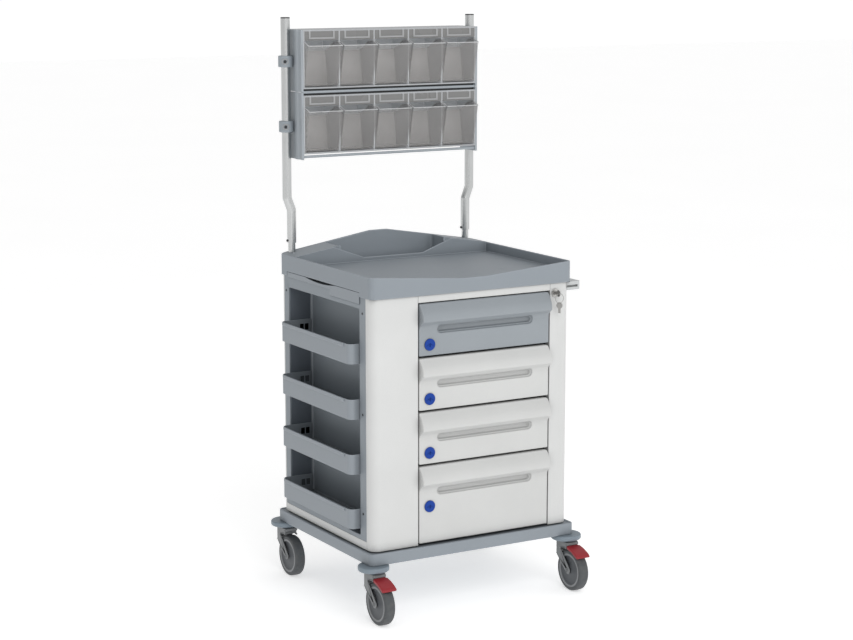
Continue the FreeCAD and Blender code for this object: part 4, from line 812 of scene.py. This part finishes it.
def post_clamps():
    """Plastic clamps: a round boss about each post, with a lower neck that reaches the rack."""
    form = Form()
    turns = [2 * math.pi * step / BOSS_STEPS for step in range(BOSS_STEPS)]
    neck = rectangle(CLAMP_ROOT, POST_X, NECK_FRONT, NECK_BACK)
    for side_name, side in SIDES:
        for unit, middle in CLAMP_PLACE.items():
            foot = middle - CLAMP_HALF_HIGH
            top = middle + CLAMP_HALF_HIGH
            boss = [(side * POST_X + CLAMP_RADIUS * math.cos(turn),
                     POST_Y + CLAMP_RADIUS * math.sin(turn)) for turn in turns]
            form.prism(boss, foot, top, upward)
            form.prism([(x * side, y) for x, y in neck], foot + NECK_ABOVE_FOOT,
                       top - NECK_BELOW_TOP, upward)
            clamp_bolt(f"{unit}_{side_name}", side, middle)
    piece = form.done("post_clamps_moulded", "cart",
                      [MATERIALS["clamp_plastic"]], ["post_clamps"])
    soften(piece, CLAMP_EDGE * MM, angle=50.0, segments=4)


# ---------------------------------------------------------------- side compartment

TOP_LIP = 805.5
LIP_PITCH = 162.5
WINDOW_LEFT = -308.0
WINDOW_RIGHT = -272.0
WINDOW_LOW = 36.0
WINDOW_HIGH = 10.0
WINDOW_BAR = 3.0
WINDOW_PROUD = 1.2
BIN_END_FACES = ((-179.75, -1), (259.25, 1))
TUB_END_FACES = ((-185.25, -1), (265.25, 1))
TUB_BACK_FACE = -258.0
TUB_LOW = 241.0
TUB_HIGH = 906.5
SHADE_SHEET_LEFT = -333.5
SHADE_SHEET_RIGHT = -266.0
SHADE_SHEET_THICK = 0.7
SEAM_SET = 4.0
SEAM_WIDE = 3.0
SEAM_THICK = 5.5
TRIM_EDGE = 0.3


def bin_windows(number):
    """Raised double windows on the inside of a side bin's two end walls; their dark panes are
    painted shade for slots.
    """
    form = Form()
    lip = TOP_LIP - LIP_PITCH * (number - 1)
    low = lip - WINDOW_LOW
    high = lip - WINDOW_HIGH
    middle = (WINDOW_LEFT + WINDOW_RIGHT) / 2
    half = WINDOW_BAR / 2
    bars = [rectangle(WINDOW_LEFT, WINDOW_RIGHT, high - WINDOW_BAR, high),
            rectangle(WINDOW_LEFT, WINDOW_RIGHT, low, low + WINDOW_BAR)]
    bars += [rectangle(place - half, place + half, low + WINDOW_BAR, high - WINDOW_BAR)
             for place in (WINDOW_LEFT + half, middle, WINDOW_RIGHT - half)]
    panes = [rectangle(left + WINDOW_BAR, right - half, low + WINDOW_BAR, high - WINDOW_BAR)
             for left, right in ((WINDOW_LEFT, middle), (middle - half, WINDOW_RIGHT - half))]
    for face, away in BIN_END_FACES:
        for bar in bars:
            form.prism(bar, face - away * WINDOW_PROUD, face, across_y)
        # Panes take the dark finish: painted shade standing for slots.
        for pane in panes:
            form.prism(pane, face - away * WINDOW_PROUD / 4, face, across_y, 1)
    piece = form.done(f"bin_windows_{number}", f"side_bin_{number}",
                      [MATERIALS["bin_grey"], WINDOW_SHADE])
    soften(piece, TRIM_EDGE * MM)


def tub_shade_and_highlight():
    """Dark sheets of painted shade on the side compartment's end walls, and a pale strip beside
    each as a painted highlight on the corner seam.
    """
    form = Form()
    for face, away in TUB_END_FACES:
        # A thin dark sheet of painted shade over each end wall.
        form.prism(rectangle(SHADE_SHEET_LEFT, SHADE_SHEET_RIGHT, TUB_LOW, TUB_HIGH),
                   face - away * SHADE_SHEET_THICK, face, across_y)
        # A pale strip beside it: painted highlight on the corner seam.
        seam = face - away * SEAM_SET
        form.prism(rectangle(TUB_BACK_FACE - SEAM_THICK, TUB_BACK_FACE, TUB_LOW, TUB_HIGH),
                   seam - SEAM_WIDE / 2, seam + SEAM_WIDE / 2, across_y, 1)
    piece = form.done("tub_shade_and_highlight", "cart", [END_WALL_SHADE, SEAM_HIGHLIGHT])
    soften(piece, TRIM_EDGE * MM)


# ---------------------------------------------------------------- casters

# Profiles of (across, radius): the whole tyre, and the right-hand halves of ring and hub cover.
TYRE = [(-15.4, 51), (-16, 53.4), (-16, 57), (-14.9, 60), (-12.2, 61.9), (-8, 62.4), (0, 62.5),
        (8, 62.4), (12.2, 61.9), (14.9, 60), (16, 57), (16, 53.4), (15.4, 51)]
RING_HALF = [(13.2, 44.6), (15.2, 45.4), (15.9, 46.6), (15.9, 50.6), (15.2, 51.9)]
HUB_HALF = [(12.9, 5.2), (14.4, 6.5), (14.6, 11.5), (13.4, 13), (12.6, 17), (11.6, 22),
            (11.6, 38), (12.8, 41.5), (13.6, 43.2), (13.0, 45.2)]


def both_ways(half):
    """Closed profile from its right-hand half."""
    return half + [(-across, radius) for across, radius in reversed(half)]


def wheel(end_name, side_name):
    """Soft grey tyre, pale rim ring and dark hub cover."""
    node = f"wheel_{end_name}_{side_name}"
    low, high = box_mm(node)
    centre = [(one + two) / 2 for one, two in zip(low, high)]
    form = Form()
    form.lathe(centre, TYRE)
    form.lathe(centre, both_ways(RING_HALF), 1)
    form.lathe(centre, both_ways(HUB_HALF), 2)
    form.done(f"wheel_moulded_{end_name}_{side_name}", node,
              [MATERIALS["wheel_rubber"], LIGHT_RING, HUB_COVER], [node], sharp=50.0)


# Side outline of (y from the caster's stem, z).
PEDAL_SIDE = [(-40, 137.6), (-64, 132.5), (-84, 124.6), (-93, 119.5), (-96.4, 115.5),
              (-96.6, 112.4), (-94, 111.0), (-88, 111.6), (-66, 122.6), (-41, 129)]
PEDAL_HALF = 23.5
PEDAL_EDGE = 2.4
CASTER_X = 334.0
CASTER_Y = -255.25
PEDAL_HINGE = (-38.0, 133.0)
PEDAL_BARREL = [(-19.8, 0.5), (-19.8, 4.9), (19.8, 4.9), (19.8, 0.5)]
BARREL_STEPS = 32


def brake_pedal(side_name, side):
    """Red foot pedal with a broad rounded blade."""
    node = f"brake_pedal_{side_name}"
    form = Form()
    middle = side * CASTER_X
    form.prism(moved(PEDAL_SIDE, CASTER_Y, 0), middle - PEDAL_HALF, middle + PEDAL_HALF,
               across_x)
    form.lathe((middle, CASTER_Y + PEDAL_HINGE[0], PEDAL_HINGE[1]), PEDAL_BARREL, 0,
               BARREL_STEPS)
    piece = form.done(f"pedal_blade_{side_name}", node,
                      [MATERIALS["pedal_red"]], [node])
    soften(piece, PEDAL_EDGE * MM, angle=35.0, segments=4)


# ---------------------------------------------------------------- floor, light and camera


def floor():
    """Plain pale floor, a little lit from within as a photographer's light table is."""
    mesh = bpy.data.meshes.new("floor")
    half = FLOOR_HALF
    mesh.from_pydata([(-half, -half, 0), (half, -half, 0), (half, half, 0), (-half, half, 0)], [],
                     [(0, 1, 2, 3)])
    plane = bpy.data.objects.new("floor", mesh)
    bpy.context.scene.collection.objects.link(plane)
    shader = Shader("floor_pale")
    cloud = shader.clouds(0.8)
    colour = shader.mix(cloud, (0.84, 0.84, 0.84, 1.0), (0.86, 0.86, 0.86, 1.0))
    mesh.materials.append(shader.surface(colour, 0.8, None, Specular_IOR_Level=0.1,
                                         Emission_Color=WHITE_LIGHT,
                                         Emission_Strength=FLOOR_GLOW))


def key_light():
    """One soft square lamp, in front and above."""
    data = bpy.data.lights.new("key_light", "AREA")
    data.shape = "SQUARE"
    data.size = KEY_SIZE
    data.energy = KEY_POWER
    lamp = bpy.data.objects.new("key_light", data)
    lamp.location = KEY_PLACE
    away = Vector(KEY_AIM) - Vector(KEY_PLACE)
    lamp.rotation_euler = away.to_track_quat("-Z", "Y").to_euler()
    bpy.context.scene.collection.objects.link(lamp)


def world():
    """White surroundings, bright along the horizon and dimmer overhead and to the left."""
    made = bpy.data.worlds.new("studio")
    made.use_nodes = True
    tree = made.node_tree
    tree.nodes.clear()
    coordinates = tree.nodes.new("ShaderNodeTexCoord")
    split = tree.nodes.new("ShaderNodeSeparateXYZ")
    tree.links.new(coordinates.outputs["Generated"], split.inputs["Vector"])
    shares = []
    for axis, *limits in SKY_RAMPS:
        ramp = tree.nodes.new("ShaderNodeMapRange")
        tree.links.new(split.outputs[axis], ramp.inputs["Value"])
        set_range(ramp, *limits)
        shares.append(ramp.outputs["Result"])
    product = tree.nodes.new("ShaderNodeMath")
    product.operation = "MULTIPLY"
    for socket, source in zip(product.inputs, shares):
        tree.links.new(source, socket)
    background = tree.nodes.new("ShaderNodeBackground")
    output = tree.nodes.new("ShaderNodeOutputWorld")
    tree.links.new(product.outputs["Value"], background.inputs["Strength"])
    background.inputs["Color"].default_value = WHITE_LIGHT
    tree.links.new(background.outputs["Background"], output.inputs["Surface"])
    bpy.context.scene.world = made


def camera():
    """Camera at the height and angle from which the cart is usually shown."""
    data = bpy.data.cameras.new("camera")
    data.sensor_width = SENSOR_WIDE
    data.lens = CAMERA_LENS
    data.clip_start = CLIP_NEAR
    data.clip_end = CLIP_FAR
    made = bpy.data.objects.new("camera", data)
    made.location = CAMERA_PLACE
    made.rotation_euler = (CAMERA_AIM - CAMERA_PLACE).to_track_quat("-Z", "Y").to_euler()
    bpy.context.scene.collection.objects.link(made)
    bpy.context.scene.camera = made


EDGE_WIDTHS = {
    "base_chassis": 2.0, "corner_bumpers": 1.5, "inner_carcass": 0.3, "rear_panel": 0.8,
    "right_panel": 0.8,
    "front_column_left": 1.0, "front_column_right": 1.0, "front_top_rail": 1.2, "side_frame": 1.0,
    "side_tub": 1.0, "side_sill": 0.8, "worktop": 1.8, "rack_posts": 0.4, "screws_and_plugs": 0.3,
    "rack_frame": 0.6, "bin_housing_upper": 0.8, "bin_housing_lower": 0.8, "post_clamps": 3.0,
    "push_handle": 1.2, "lock_cylinder": 0.5, "drawer_runners": 0.5, "pullout_shelf": 1.2,
    "lock_key": 0.3, "key_ring": 0.2,
}
# For a node that isn't above, by the first word of its name.
STEM_WIDTHS = {"drawer": 0.8, "side": 1.0, "tilt": 0.7, "caster": 2.0, "wheel": 0.8, "brake": 2.0}


def dress_cad():
    """Materials and softened edges for every CAD node."""
    for node in NODES:
        width = EDGE_WIDTHS.get(node)
        if width is None:
            width = STEM_WIDTHS[node.split("_")[0]]
        dress(node, width * MM)


def build_pieces():
    """Every piece that stands for a CAD node or adds to one."""
    for number in DRAWERS:
        drawer_front(number)
    for unit in UNITS:
        label_strips(unit)
        for number in TILT_BINS:
            tilt_bin(unit, number)
    post_clamps()
    tub_shade_and_highlight()
    for number in SIDE_BINS:
        bin_windows(number)
    for end_name in ENDS:
        for side_name, _ in SIDES:
            wheel(end_name, side_name)
    for side_name, side in SIDES:
        brake_pedal(side_name, side)


floor()
world()
camera()
key_light()
bpy.context.scene.view_settings.view_transform = "Standard"

dress_cad()
build_pieces()
